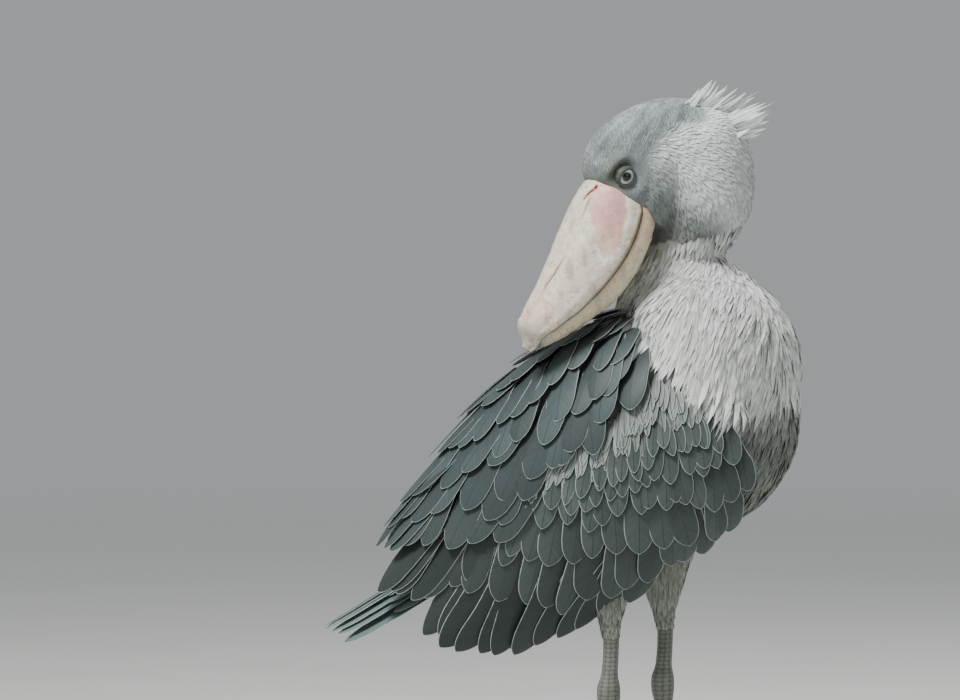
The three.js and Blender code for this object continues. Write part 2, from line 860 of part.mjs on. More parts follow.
function tailCore() {
  const rings = TAIL_CORE.map(({ along, height, width }) => {
    const middle = TAIL_ROOT.above - 0.06 * (along - TAIL_CORE[3].along);
    const ring = [];
    for (let k = 0; k < 16; k += 1) {
      const angle = (2 * Math.PI * k) / 16;
      ring.push(bodyPoint(along, middle + height * Math.sin(angle), width * Math.cos(angle)));
    }
    return ring;
  });
  return loft(rings);
}

function tail() {
  const vanes = [];
  for (let i = 0; i < TAIL_COUNT; i += 1) {
    vanes.push(tailVane(i));
  }
  return largest(join([tailCore(), ...vanes]).subtract(torsoGrown));
}

// Crest: a loose tuft of pointed feathers at the back of the crown

const CREST_COUNT = 12;
const CREST_SHAPE = [
  { at: -0.3, width: 0.8 },
  { at: 0.2, width: 1 },
  { at: 0.65, width: 0.7 },
  { at: 1, width: 0.15 },
];

// Where the crest's feathers leave the crown, from front to back, and where their tips stand
const CREST = [
  { order: 0, x: 52, z: 962, tipX: 78, tipZ: 979 },
  { order: 0.2, x: 68, z: 962, tipX: 98, tipZ: 996 },
  { order: 0.4, x: 84, z: 959, tipX: 124, tipZ: 988 },
  { order: 0.6, x: 97, z: 952, tipX: 156, tipZ: 978 },
  { order: 0.8, x: 110, z: 941, tipX: 170, tipZ: 959 },
  { order: 1, x: 120, z: 926, tipX: 150, tipZ: 930 },
];
const CREST_WIDTH = 11;
const CREST_SIDE = -14;            // the crest's own middle line

function crestVane(index) {
  const order = index / (CREST_COUNT - 1);
  const at = (column) => readTable(CREST, 'order', order, column);
  const lane = ((index * 5) % CREST_COUNT) / (CREST_COUNT - 1) - 0.5;
  const root = new THREE.Vector3(at('x'), CREST_SIDE + 34 * lane, at('z'));
  const tip = new THREE.Vector3(at('tipX'), CREST_SIDE + 60 * lane, at('tipZ'));
  const aim = tip.clone().sub(root);
  const above = new THREE.Vector3(-aim.z, 0, aim.x).normalize();
  const facing = index % 2 === 0 ? 1 : -1;
  const out = new THREE.Vector3(0, facing, 0).addScaledVector(above, 0.7).normalize();
  const path = CREST_SHAPE.map((stop) => ({
    place: root.clone().addScaledVector(aim, stop.at).addScaledVector(above, -5 * stop.at * (1 - stop.at)),
    out,
  }));
  return vaneAlong(path, CREST_SHAPE, CREST_WIDTH, VANE_THICKNESS, 0);
}

// Legs and feet

function tube(stations, segments = 14) {
  const rings = stations.map((row) => {
    const ring = [];
    for (let k = 0; k < segments; k += 1) {
      const angle = (2 * Math.PI * k) / segments;
      ring.push(new THREE.Vector3(
        row.x + row.ahead * Math.cos(angle),
        row.y + row.across * Math.sin(angle),
        row.z,
      ));
    }
    return ring;
  });
  return loft(rings);
}

function footPlace(side) {
  return new THREE.Vector3(LEG_AHEAD + side * LEG_STEP, side * LEG_SPREAD, 0);
}

function thighForm(side, grow) {
  const foot = footPlace(side);
  const at = (z, ahead, across, x) => ({
    x: foot.x + x, y: foot.y, z, ahead: ahead + grow, across: across + grow,
  });
  return tube([
    at(FEATHER_LINE_HEIGHT, SHIN_RADIUS + 1.5, SHIN_RADIUS + 1.5, 0),
    at(340, 15, 14, -1),
    at(360, 23, 20, -2),
    at(385, 31, 24, -3),
    at(415, 42, 28, -4),
    at(450, 54, 32, -4),
    at(485, 58, 32, -2),
    at(510, 46, 26, 0),
  ], 18);
}

function thigh(side) {
  return largest(thighForm(side, 0).subtract(torsoGrown));
}

const FOOT_TOP = 24;

function shin(side) {
  const foot = footPlace(side);
  const at = (z, radius, x = 0) => ({ x: foot.x + x, y: foot.y, z, ahead: radius, across: radius * 0.92 });
  return tube([
    at(FOOT_TOP, SHIN_RADIUS + 1),
    at(60, SHIN_RADIUS - 0.3),
    at(200, SHIN_RADIUS - 0.3, -1),
    at(ANKLE_HEIGHT - 24, SHIN_RADIUS + 1.5, -2),
    at(ANKLE_HEIGHT - 8, SHIN_RADIUS + 4.5, -3),
    at(ANKLE_HEIGHT + 8, SHIN_RADIUS + 4.5, -3),
    at(ANKLE_HEIGHT + 22, SHIN_RADIUS + 1, -2),
    at(FEATHER_LINE_HEIGHT - MEETING_GAP, SHIN_RADIUS + 0.5),
  ]);
}

// Each toe: where it points, how long it is and how thick at its root
const TOES = [
  { name: 'inner', heading: 28, length: 128, radius: 7.6 },
  { name: 'middle', heading: 2, length: 158, radius: 8.2 },
  { name: 'outer', heading: -27, length: 140, radius: 7.6 },
  { name: 'hind', heading: 186, length: 78, radius: 6.6 },
];
const CLAW_LENGTH = 22;

function toe(foot, heading, length, radius) {
  const forward = new THREE.Vector3(Math.cos(heading), Math.sin(heading), 0);
  const across = new THREE.Vector3(-Math.sin(heading), Math.cos(heading), 0);
  const joints = 4;
  const stations = [0, 0.12, 0.25, 0.38, 0.5, 0.63, 0.75, 0.92, 1];
  const rings = stations.map((at, i) => {
    const knuckle = 1 + 0.12 * Math.cos(2 * Math.PI * joints * at - 0.4);
    const thick = radius * mix(1, 0.68, at) * knuckle * (i === stations.length - 1 ? 0.75 : 1);
    const rise = mix(6, 0, clamp(at / 0.3, 0, 1));
    const ring = [];
    for (let k = 0; k < 8; k += 1) {
      const angle = (2 * Math.PI * k) / 8 + Math.PI / 8;
      const z = thick * 0.88 + rise + thick * Math.sin(angle);
      ring.push(foot.clone()
        .addScaledVector(forward, length * at)
        .addScaledVector(across, thick * Math.cos(angle))
        .setZ(Math.max(0, z)));
    }
    return ring;
  });
  return loft(rings);
}

// The ball of the foot, which the toes meet
function footBody(side, grow) {
  const { x, y } = footPlace(side);
  const at = (z, ahead, across) => ({ x, y, z, ahead: ahead + grow, across: across + grow });
  return tube([
    at(-3 * grow, 13, 12),
    at(6, 16, 14),
    at(14, 14, 12.5),
    at(FOOT_TOP - MEETING_GAP + 3 * grow, SHIN_RADIUS + 1, SHIN_RADIUS),
  ]);
}

// A toe meets the ball of the foot, and the inner and outer ones make room for the middle one
function toeOf(side, { name, heading, length, radius }) {
  const form = toe(footPlace(side), side * heading * DEGREE, length, radius);
  const middle = TOES.find((other) => other.name === 'middle');
  const room = middle.radius + 2 * MEETING_GAP;
  const beside = toe(footPlace(side), side * middle.heading * DEGREE, middle.length, room);
  const palm = footBody(side, MEETING_GAP);
  return largest(form.subtract(name === 'middle' ? palm : join([palm, beside])));
}

function claw(side, { heading, length, radius }) {
  const place = footPlace(side);
  const turn = side * heading * DEGREE;
  const forward = new THREE.Vector3(Math.cos(turn), Math.sin(turn), 0);
  const across = new THREE.Vector3(-Math.sin(turn), Math.cos(turn), 0);
  const start = length + MEETING_GAP;
  const rings = [0, 0.3, 0.6, 0.85, 1].map((at) => {
    const thick = radius * 0.5 * (1 - 0.9 * at);
    const height = 0.6 + radius * 0.62 * (1 - at ** 2) + thick * 0.5;
    const ring = [];
    for (let k = 0; k < 6; k += 1) {
      const angle = (2 * Math.PI * k) / 6;
      ring.push(place.clone()
        .addScaledVector(forward, start + CLAW_LENGTH * at)
        .addScaledVector(across, thick * Math.cos(angle))
        .setZ(height + thick * 0.9 * Math.sin(angle)));
    }
    return ring;
  });
  return loft(rings);
}

// Head and neck are one form, parted by a thin cut from the throat to the nape

const HEAD_CUT = { throat: [-6, -118], nape: [-170, -125] };

function headCutBox(offset) {
  const throat = headPoint(HEAD_CUT.throat[0], HEAD_CUT.throat[1], 0);
  const nape = headPoint(HEAD_CUT.nape[0], HEAD_CUT.nape[1], 0);
  const along = nape.clone().sub(throat).normalize();
  const toHead = new THREE.Vector3().crossVectors(headLeft, along).normalize();
  if (toHead.dot(headUp) < 0) {
    toHead.negate();
  }
  const depth = 300;
  const centre = throat.clone().add(nape).multiplyScalar(0.5).addScaledVector(toHead, -depth / 2 + offset);
  const matrix = new THREE.Matrix4().makeBasis(along, headLeft, toHead);
  if (matrix.determinant() < 0) {
    matrix.makeBasis(along, headLeft.clone().negate(), toHead);
  }
  matrix.setPosition(centre);
  return geometryToSolid(new THREE.BoxGeometry(500, 400, depth), matrix);
}

function eyeCentre(side) {
  return headPoint(EYE_PLACE.forward, EYE_PLACE.up, side * EYE_PLACE.side);
}

// Lids: a raised ring round the eye
function lids(side) {
  const centre = headPoint(EYE_PLACE.forward, EYE_PLACE.up, side * (EYE_PLACE.side + 5.5));
  const matrix = new THREE.Matrix4();
  matrix.makeBasis(billForward, headUp, new THREE.Vector3().crossVectors(billForward, headUp));
  matrix.setPosition(centre);
  return geometryToSolid(new THREE.TorusGeometry(13, 3.2, 6, 18), matrix);
}

// The eye lies in a shallow hollow below the brow
function orbit(side) {
  const centre = headPoint(EYE_PLACE.forward + 2, EYE_PLACE.up - 1, side * (EYE_PLACE.side + 29));
  return ball(25, centre, 18, 12);
}

function head() {
  const face = headForm(0).subtract(orbit(LEFT)).subtract(orbit(RIGHT));
  const crest = [];
  for (let i = 0; i < CREST_COUNT; i += 1) {
    crest.push(crestVane(i));
  }
  return join([face, lids(LEFT), lids(RIGHT), ...crest]);
}

// Assembly

const neckWhole = neckForm(0);
const headWhole = head();
const billTop = join([upperBill(), billNail()]).subtract(nostrilCut(LEFT)).subtract(nostrilCut(RIGHT));

// The feathered face stops at the bill: the bill is let into it with a thin gap
function billSocket() {
  const lip = 2 * MEETING_GAP;
  const rings = [];
  for (let i = 0; i <= 6; i += 1) {
    const forward = mix(BILL[0].forward - lip, 40, i / 6);
    const at = (column) => readTable(BILL, 'forward', forward, column);
    const ring = [];
    for (let k = 0; k < 24; k += 1) {
      const angle = (2 * Math.PI * k) / 24;
      const upper = Math.sin(angle) >= 0;
      const wide = Math.sign(Math.cos(angle)) * Math.abs(Math.cos(angle)) ** 0.7;
      const reach = upper ? at('ridge') + 3 - at('edge') : at('edge') - at('low') + 2 * lip;
      const power = Math.sign(Math.sin(angle)) * Math.abs(Math.sin(angle)) ** 0.75;
      ring.push(headPoint(forward, at('edge') + reach * power, (at('upper') + lip + 1) * wide));
    }
    rings.push(ring);
  }
  return loft(rings);
}

const belowCut = headCutBox(-MEETING_GAP / 2);
const throughCut = headCutBox(MEETING_GAP / 2);
const waistHeight = 786;
const belowWaist = box(new THREE.Vector3(600, 600, 400), new THREE.Vector3(80, 0, waistHeight - 200));
const pastWaist = box(
  new THREE.Vector3(600, 600, 400),
  new THREE.Vector3(80, 0, waistHeight + MEETING_GAP - 200),
);
const sockets = join([
  ball(EYE_RADIUS + MEETING_GAP, eyeCentre(LEFT)),
  ball(EYE_RADIUS + MEETING_GAP, eyeCentre(RIGHT)),
]);
const headNeck = join([neckWhole, headWhole]).subtract(billSocket()).subtract(sockets);

const wingRoom = join([LEFT, RIGHT].map((side) => wingCore(side, HEM_HEIGHT + MEETING_GAP, 14)));
const plumes = join(ruffPlumes()).subtract(wingRoom);

const solids = {
  torso,
  neck_lower: largest(
    join([ruffForm(0), neckWhole.intersect(belowWaist), plumes]).subtract(join([torsoGrown, hemFloor()])),
  ),
  neck_upper: largest(headNeck.intersect(belowCut).subtract(pastWaist)),
  head: largest(headNeck.subtract(throughCut).subtract(pastWaist)),
  bill_upper: largest(billTop),
  bill_lower: largest(lowerBill()),
  eye_left: ball(EYE_RADIUS, eyeCentre(LEFT)),
  eye_right: ball(EYE_RADIUS, eyeCentre(RIGHT)),
  wing_left: wing(LEFT),
  wing_right: wing(RIGHT),
  tail: tail(),
  thigh_left: thigh(LEFT),
  thigh_right: thigh(RIGHT),
  shin_left: shin(LEFT),
  shin_right: shin(RIGHT),
  foot_left: footBody(LEFT, 0),
  foot_right: footBody(RIGHT, 0),
};

for (const toeSize of TOES) {
  solids[`toe_left_${toeSize.name}`] = toeOf(LEFT, toeSize);
  solids[`toe_right_${toeSize.name}`] = toeOf(RIGHT, toeSize);
  solids[`claw_left_${toeSize.name}`] = claw(LEFT, toeSize);
  solids[`claw_right_${toeSize.name}`] = claw(RIGHT, toeSize);
}

// Materials

function material(color, roughness) {
  return new THREE.MeshStandardMaterial({ color, roughness, metalness: 0 });
}

const bodyGrey = material(0x8d9496, 0.9);
const ruffGrey = material(0xb9bdbb, 0.9);
const hoodGrey = material(0x8b9295, 0.9);
const slate = material(0x4a5960, 0.65);
const horn = material(0xd9c8b4, 0.5);
const hornShade = material(0xc9b28a, 0.5);
const iris = material(0xb9c6c8, 0.1);
const shinGrey = material(0x6d6f68, 0.7);
const clawDark = material(0x3c3a36, 0.45);

function materialFor(name) {
  if (name.startsWith('claw')) {
    return clawDark;
  }
  const table = {
    torso: bodyGrey,
    neck_lower: ruffGrey,
    neck_upper: hoodGrey,
    head: hoodGrey,
    bill_upper: horn,
    bill_lower: hornShade,
    eye: iris,
    wing: slate,
    tail: slate,
    thigh: bodyGrey,
    shin: shinGrey,
    foot: shinGrey,
    toe: shinGrey,
  };
  return table[name] ?? table[name.split('_')[0]];
}

function toMesh(name, solid) {
  const mesh = solid.getMesh();
  const geometry = new THREE.BufferGeometry();
  geometry.setAttribute('position', new THREE.BufferAttribute(new Float32Array(mesh.vertProperties), 3));
  geometry.setIndex(new THREE.BufferAttribute(new Uint32Array(mesh.triVerts), 1));
  const piece = new THREE.Mesh(geometry, materialFor(name));
  piece.name = name;
  return piece;
}

const group = new THREE.Group();
for (const [name, solid] of Object.entries(solids)) {
  group.add(toMesh(name, solid));
}

// The bird stands with the middle of its outline over the origin and its feet on z = 0
const outline = new THREE.Box3().setFromObject(group);
const middle = outline.getCenter(new THREE.Vector3());
group.position.set(-middle.x, -middle.y, -outline.min.z);

export default group;
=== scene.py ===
import math
import bpy
import numpy as np
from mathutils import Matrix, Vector
from mathutils.bvhtree import BVHTree


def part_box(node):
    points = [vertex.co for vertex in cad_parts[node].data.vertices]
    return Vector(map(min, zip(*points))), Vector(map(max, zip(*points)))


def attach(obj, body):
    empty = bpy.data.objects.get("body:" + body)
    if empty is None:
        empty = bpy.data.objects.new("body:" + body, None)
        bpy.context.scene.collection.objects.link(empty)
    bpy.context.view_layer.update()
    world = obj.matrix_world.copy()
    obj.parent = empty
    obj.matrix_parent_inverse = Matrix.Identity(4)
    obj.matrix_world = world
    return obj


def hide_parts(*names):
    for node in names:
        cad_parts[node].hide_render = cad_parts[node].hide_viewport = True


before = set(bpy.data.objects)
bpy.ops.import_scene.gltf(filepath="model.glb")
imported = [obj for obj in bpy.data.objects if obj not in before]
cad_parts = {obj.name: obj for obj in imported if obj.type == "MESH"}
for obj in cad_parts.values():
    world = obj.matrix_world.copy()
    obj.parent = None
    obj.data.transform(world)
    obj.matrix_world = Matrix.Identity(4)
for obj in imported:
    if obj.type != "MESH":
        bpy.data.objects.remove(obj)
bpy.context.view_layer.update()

# A life-size shoebill with its head turned back over its right shoulder.
# Shapes are worked out in millimetres in the bird's own frame, then set on the frame's place.

MM = 0.001
DEGREE = math.pi / 180
LEFT, RIGHT = 1, -1

LEG_SPREAD = 65
LEG_STEP = 23
LEG_AHEAD = 7
FEATHER_LINE = 327
FOOT_TOP = 24
BODY_MIDDLE = np.array([-20.0, 0, 560])
BODY_PITCH = 39.5 * DEGREE
BILL_HEADING = 210 * DEGREE
BILL_PITCH = 55 * DEGREE
BILL_BASE = np.array([-43.0, -72, 874])
EYE_RADIUS = 12.5
EYE_PLACE = {"forward": -24.5, "up": -21, "side": 37}
COAT_DEPTH = 4.0
WING_DROOP = 0.55
WING_FRONT = 168
WING_LENGTH = 358
SKIN_GRAIN = 0.0032

foot_low, foot_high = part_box("foot_left")
FOOT_MIDDLE = (foot_low + foot_high) / 2
SHIFT = np.array([
    FOOT_MIDDLE.x - (LEG_AHEAD + LEG_STEP) * MM,
    FOOT_MIDDLE.y - LEG_SPREAD * MM,
    0,
])


# Tables: each row is one station, read smoothly between rows

def table(columns, rows):
    values = np.array(rows, float).T
    return dict(zip(columns.split(), values))


def read(source, key, at, column):
    stations = source[key]
    values = source[column]
    last = len(stations) - 1
    x = np.clip(at, stations[0], stations[-1])
    i = np.clip(np.searchsorted(stations, x, side="right") - 1, 0, last - 1)
    t = (x - stations[i]) / (stations[i + 1] - stations[i])
    before = values[np.maximum(i - 1, 0)]
    after = values[np.minimum(i + 2, last)]
    low, high = values[i], values[i + 1]
    m1, m2 = (high - before) / 2, (after - low) / 2
    t2, t3 = t * t, t ** 3
    return ((2 * t3 - 3 * t2 + 1) * low + (t3 - 2 * t2 + t) * m1
            + (3 * t2 - 2 * t3) * high + (t3 - t2) * m2)


def look(source, key, at, columns):
    """Reads several columns at once."""
    return [read(source, key, at, column) for column in columns.split()]


TORSO = table("along above below side", [
    [-238, 14, -6, 4], [-226, 28, 12, 22], [-190, 62, 58, 58], [-120, 108, 112, 98],
    [-40, 128, 150, 118], [40, 124, 168, 122], [100, 104, 172, 114], [160, 62, 150, 92],
    [205, 18, 104, 60], [220, -22, 64, 14]])
MANTLE = table("along above below side", [
    [-440, 40, 40, 26], [-340, 66, 92, 52], [-260, 92, 132, 78], [-180, 112, 150, 102],
    [-100, 128, 162, 120], [-20, 134, 170, 130], [60, 126, 172, 130], [130, 92, 164, 116],
    [180, 54, 134, 88], [225, 16, 96, 46]])
NECK = table("x y z across ahead", [
    [84, 0, 700, 66, 84], [70, 0, 730, 65, 90], [70, 0, 756, 58, 78], [60, 0, 785, 46, 51],
    [76, -2, 812, 53, 54], [82, -4, 842, 61, 64], [83, -6, 874, 63, 66], [78, -10, 905, 61, 68],
    [76, -14, 934, 53, 61], [76, -14, 954, 38, 48], [70, -14, 968, 18, 24]])
HEAD = table("forward up down side", [
    [-156, -58, -72, 8], [-148, -38, -92, 26], [-130, -14, -104, 40], [-105, 5, -112, 48],
    [-80, 17, -116, 51], [-55, 24, -116, 51], [-32, 24, -114, 50], [-14, 18, -108, 48],
    [0, 4, -100, 46]])
BILL = table("forward ridge edge low upper lower", [
    [-10, -3, -57, -84, 42, 41], [0, 1, -63, -93, 47, 46], [28, 0, -71, -102, 49, 48],
    [60, -5, -75, -106, 49, 47], [100, -13, -73, -104, 46, 43], [140, -19, -67, -91, 39, 35],
    [170, -22, -58, -79, 31, 26], [190, -27, -53, -68, 23, 15], [201, -36, -56, -63, 15, 7]])
SEAM = table("forward up", [
    [-150, -49], [-135, -60], [-119, -57], [-99, -38], [-81, -30], [-64, -29], [-49, -32],
    [-36, -42], [-21, -52], [0, -62]])
GROOVE = table("forward side", [[0, 24], [41, 26], [74, 27], [110, 23], [138, 17], [157, 14], [185, 10]])
PATCH = table("forward low high", [
    [-10, 0.42, 0.95], [0, 0.4, 0.94], [10, 0.31, 0.94], [27, 0.26, 0.91], [40, 0.24, 0.81],
    [51, 0.22, 0.68], [63, 0.21, 0.54], [70, 0.27, 0.43], [75, 0.34, 0.36]])
RUFF = {"along": 146, "above": 8, "length": 118, "height": 126, "width": 124, "hem": 128}
THIGH = table("z ahead across x", [
    [327, 10.5, 10.5, 0], [340, 15, 14, -1], [360, 23, 20, -2], [385, 31, 24, -3],
    [415, 42, 28, -4], [450, 54, 32, -4], [485, 58, 32, -2], [510, 46, 26, 0]])

BODY_ALONG = np.array([math.cos(BODY_PITCH), 0, math.sin(BODY_PITCH)])
BODY_ABOVE = np.array([-math.sin(BODY_PITCH), 0, math.cos(BODY_PITCH)])
SIDEWAYS = np.array([0.0, 1, 0])
BILL_FORWARD = np.array([
    math.cos(BILL_HEADING) * math.cos(BILL_PITCH),
    math.sin(BILL_HEADING) * math.cos(BILL_PITCH),
    -math.sin(BILL_PITCH)])
HEAD_LEFT = np.array([-math.sin(BILL_HEADING), math.cos(BILL_HEADING), 0])
HEAD_UP = np.cross(BILL_FORWARD, HEAD_LEFT)


def spread(value):
    return np.asarray(value, float)[..., None]


def unit(vectors):
    return vectors / np.maximum(np.linalg.norm(vectors, axis=-1, keepdims=True), 1e-9)


def mix(a, b, t):
    return a + (b - a) * t


def smooth(low, high, value):
    t = np.clip((value - low) / (high - low), 0, 1)
    return t * t * (3 - 2 * t)


def blend(colours, other, share):
    """Moves each point's colour towards another one by its share."""
    return mix(colours, other, spread(share))


def dot(a, b):
    return np.einsum("ij,ij->i", a, b)


def body_point(along, above, side):
    return BODY_MIDDLE + spread(along) * BODY_ALONG + spread(above) * BODY_ABOVE + spread(side) * SIDEWAYS


def to_body(points):
    offset = points - BODY_MIDDLE
    return offset @ BODY_ALONG, offset @ BODY_ABOVE, offset[..., 1]


def head_point(forward, up, side):
    return BILL_BASE + spread(forward) * BILL_FORWARD + spread(up) * HEAD_UP + spread(side) * HEAD_LEFT


def to_head(points):
    offset = points - BILL_BASE
    return offset @ BILL_FORWARD, offset @ HEAD_UP, offset @ HEAD_LEFT


def eye_centre(side, outward=0):
    return head_point(EYE_PLACE["forward"], EYE_PLACE["up"], side * (EYE_PLACE["side"] + outward))


def section_point(source, along, turn, side, grow, droop=1.0):
    """A point of a body section: turn is 0 on the back, 90 degrees at the side, 180 below."""
    above, below, width = look(source, "along", along, "above below side")
    sine = np.abs(np.sin(turn))
    reach = np.where(np.cos(turn) < 0, sine ** droop, sine)
    return body_point(along, (above - below) / 2 + ((above + below) / 2 + grow) * np.cos(turn),
                      side * (width + grow) * reach)


def foot_place(side):
    return np.array([LEG_AHEAD + side * LEG_STEP, side * LEG_SPREAD, 0.0])


def srgb(code):
    """A hex colour as linear red, green and blue."""
    values = np.array([int(code[i:i + 2], 16) / 255 for i in (1, 3, 5)])
    return np.where(values <= 0.04045, values / 12.92, ((values + 0.055) / 1.055) ** 2.4)


# Meshes

def new_mesh(name, points, quads=(), triangles=(), smooth_faces=True):
    """Makes a mesh object from points in the bird's frame and arrays of faces."""
    points = np.asarray(points, float).reshape(-1, 3) * MM + SHIFT
    quads = np.asarray(quads, np.int32).reshape(-1, 4)
    triangles = np.asarray(triangles, np.int32).reshape(-1, 3)
    mesh = bpy.data.meshes.new(name)
    mesh.vertices.add(len(points))
    mesh.vertices.foreach_set("co", points.astype(np.float32).ravel())
    corners = np.concatenate([quads.ravel(), triangles.ravel()])
    mesh.loops.add(len(corners))
    mesh.loops.foreach_set("vertex_index", corners)
    starts = np.concatenate([np.arange(len(quads)) * 4, len(quads) * 4 + np.arange(len(triangles)) * 3])
    mesh.polygons.add(len(starts))
    mesh.polygons.foreach_set("loop_start", starts.astype(np.int32))
    mesh.update(calc_edges=True)
    mesh.validate()
    mesh.polygons.foreach_set("use_smooth", np.full(len(mesh.polygons), smooth_faces))
    piece = bpy.data.objects.new(name, mesh)
    bpy.context.scene.collection.objects.link(piece)
    return piece


def paint(piece, colours):
    """Gives every point of a piece its own colour."""
    values = np.ones((len(piece.data.vertices), 4), np.float32)
    values[:, :3] = colours
    attribute = piece.data.attributes.new("Tint", "FLOAT_COLOR", "POINT")
    attribute.data.foreach_set("color", values.ravel())


def measure(piece, name, values):
    """Gives every point of a piece a value of its own."""
    attribute = piece.data.attributes.new(name, "FLOAT", "POINT")
    attribute.data.foreach_set("value", np.asarray(values, np.float32).ravel())


def unwrap(piece, name, places):
    """Writes a UV map from one place for each point."""
    corners = np.empty(len(piece.data.loops), np.int32)
    piece.data.loops.foreach_get("vertex_index", corners)
    layer = piece.data.uv_layers.new(name=name)
    layer.data.foreach_set("uv", np.asarray(places, np.float32)[corners].ravel())


def points_of(piece):
    """A piece's points in the bird's frame."""
    values = np.empty(len(piece.data.vertices) * 3, np.float32)
    piece.data.vertices.foreach_get("co", values)
    return (values.reshape(-1, 3).astype(float) - SHIFT) / MM


def loft(rings):
    """A closed skin over rings of points: the quads between rings and a fan over each end."""
    rings = np.asarray(rings, float)
    count, size = rings.shape[:2]
    points = np.concatenate([rings.reshape(-1, 3), rings[0].mean(0)[None], rings[-1].mean(0)[None]])
    ring = np.arange(size)
    after = (ring + 1) % size
    quads = np.concatenate([
        np.stack([i * size + ring, i * size + after, (i + 1) * size + after, (i + 1) * size + ring], 1)
        for i in range(count - 1)])
    first = np.stack([after, ring, np.full(size, count * size)], 1)
    end = (count - 1) * size
    last = np.stack([end + ring, end + after, np.full(size, count * size + 1)], 1)
    triangles = np.concatenate([first, last])
    inside = points.mean(0)
    a, b, c = (points[quads[:, k]] for k in range(3))
    if np.einsum("ij,ij->", np.cross(b - a, c - a), a - inside) < 0:
        quads = quads[:, ::-1]
        triangles = triangles[:, ::-1]
    return points, quads, triangles


def gather(parts):
    """Joins several (points, quads, triangles) into one."""
    points, quads, triangles = [], [], []
    count = 0
    for some, four, three in parts:
        points.append(some)
        quads.append(four + count)
        triangles.append(three + count)
        count += len(some)
    return np.concatenate(points), np.concatenate(quads), np.concatenate(triangles)


def circle(size):
    return np.arange(size) * 2 * math.pi / size


# Forms of flesh, drawn in by the coat's depth

def torso_form(depth):
    along = np.linspace(-236 + depth, 219 - depth, 40)[:, None]
    turn = circle(48)[None]
    side = np.where(turn > math.pi, RIGHT, LEFT)
    return loft(section_point(TORSO, along, turn, side, -depth))


def ruff_form(depth):
    """The neck's lobe: a dome at its front that runs on as a straight sleeve to the hem."""
    hem = math.pi / 2 + (RUFF["along"] - RUFF["hem"]) / RUFF["length"]
    polar, around = np.linspace(0.04, hem, 20)[:, None], circle(48)[None]
    length = RUFF["length"] - depth
    along = RUFF["along"] + length * np.where(polar < math.pi / 2, np.cos(polar), math.pi / 2 - polar)
    wide = np.where(polar < math.pi / 2, np.sin(polar), 1)
    above = RUFF["above"] + (RUFF["height"] - depth) * wide * np.cos(around)
    return loft(body_point(along, above, (RUFF["width"] - depth) * wide * np.sin(around)))


def neck_form(depth):
    z = np.linspace(700, 968 - depth, 50)[:, None]
    turn = circle(48)[None]
    x, y, across, ahead = look(NECK, "z", z, "x y across ahead")
    x = x + (ahead - depth) * np.cos(turn)
    return loft(np.stack([x, y + (across - depth) * np.sin(turn), z + 0 * x], -1))


def head_form(depth):
    forward = np.linspace(-156 + depth, -2, 44)[:, None]
    turn = circle(48)[None]
    up, down, side = look(HEAD, "forward", forward, "up down side")
    flat = np.sign(np.cos(turn)) * np.abs(np.cos(turn)) ** 0.85
    height = (up - down) / 2 - depth
    return loft(head_point(forward, (up + down) / 2 + height * np.sin(turn), (side - depth) * flat))


def thigh_form(side, depth):
    z = np.linspace(THIGH["z"][0], THIGH["z"][-1], 24)[:, None]
    turn = circle(32)[None]
    foot = foot_place(side)
    x, across, ahead = look(THIGH, "z", z, "x across ahead")
    fitted = depth * smooth(FEATHER_LINE, FEATHER_LINE + 25, z)
    x = foot[0] + x + (ahead - fitted) * np.cos(turn)
    y = foot[1] + (across - fitted) * np.sin(turn)
    return loft(np.stack([x, y, z + 0 * x], -1))


def wing_edges(t):
    """Where the folded wing starts and ends round the body, in degrees, at a share of its length."""
    round_ends = np.sqrt(np.maximum(0, 1 - (2 * np.clip(t, 0, 1) - 1) ** 4))
    return mix(60, 5, np.minimum(1, round_ends * 1.05)), mix(70, 126, round_ends ** 0.6)


def wing_core(side, top, bottom):
    """The folded wing's own slab, round the body from near the back to low on the side."""
    t = np.linspace(0, 1, 26)[:, None]
    along = mix(WING_FRONT, WING_FRONT - WING_LENGTH, t)
    high, low = wing_edges(t)
    across = np.linspace(0, 1, 24)[None]
    turn = mix(high * DEGREE, low * DEGREE, across)
    bulge = np.sqrt(np.maximum(0, 1 - (2 * across - 1) ** 6))
    outer = section_point(MANTLE, along, turn, side, mix(bottom, top, bulge), WING_DROOP)
    inner = section_point(MANTLE, along, turn[:, ::-1], side, bottom - 8, WING_DROOP)
    return loft(np.concatenate([outer, inner], 1))


# Regions: how far points lie outside each form, and how far they belong to it

def outside_thigh(points, side):
    foot = foot_place(side)
    z = points[:, 2]
    x, across, ahead = look(THIGH, "z", z, "x across ahead")
    reach = np.hypot((points[:, 0] - foot[0] - x) / ahead, (points[:, 1] - foot[1]) / across)
    return (reach - 1) * across + np.maximum(0, z - 500)


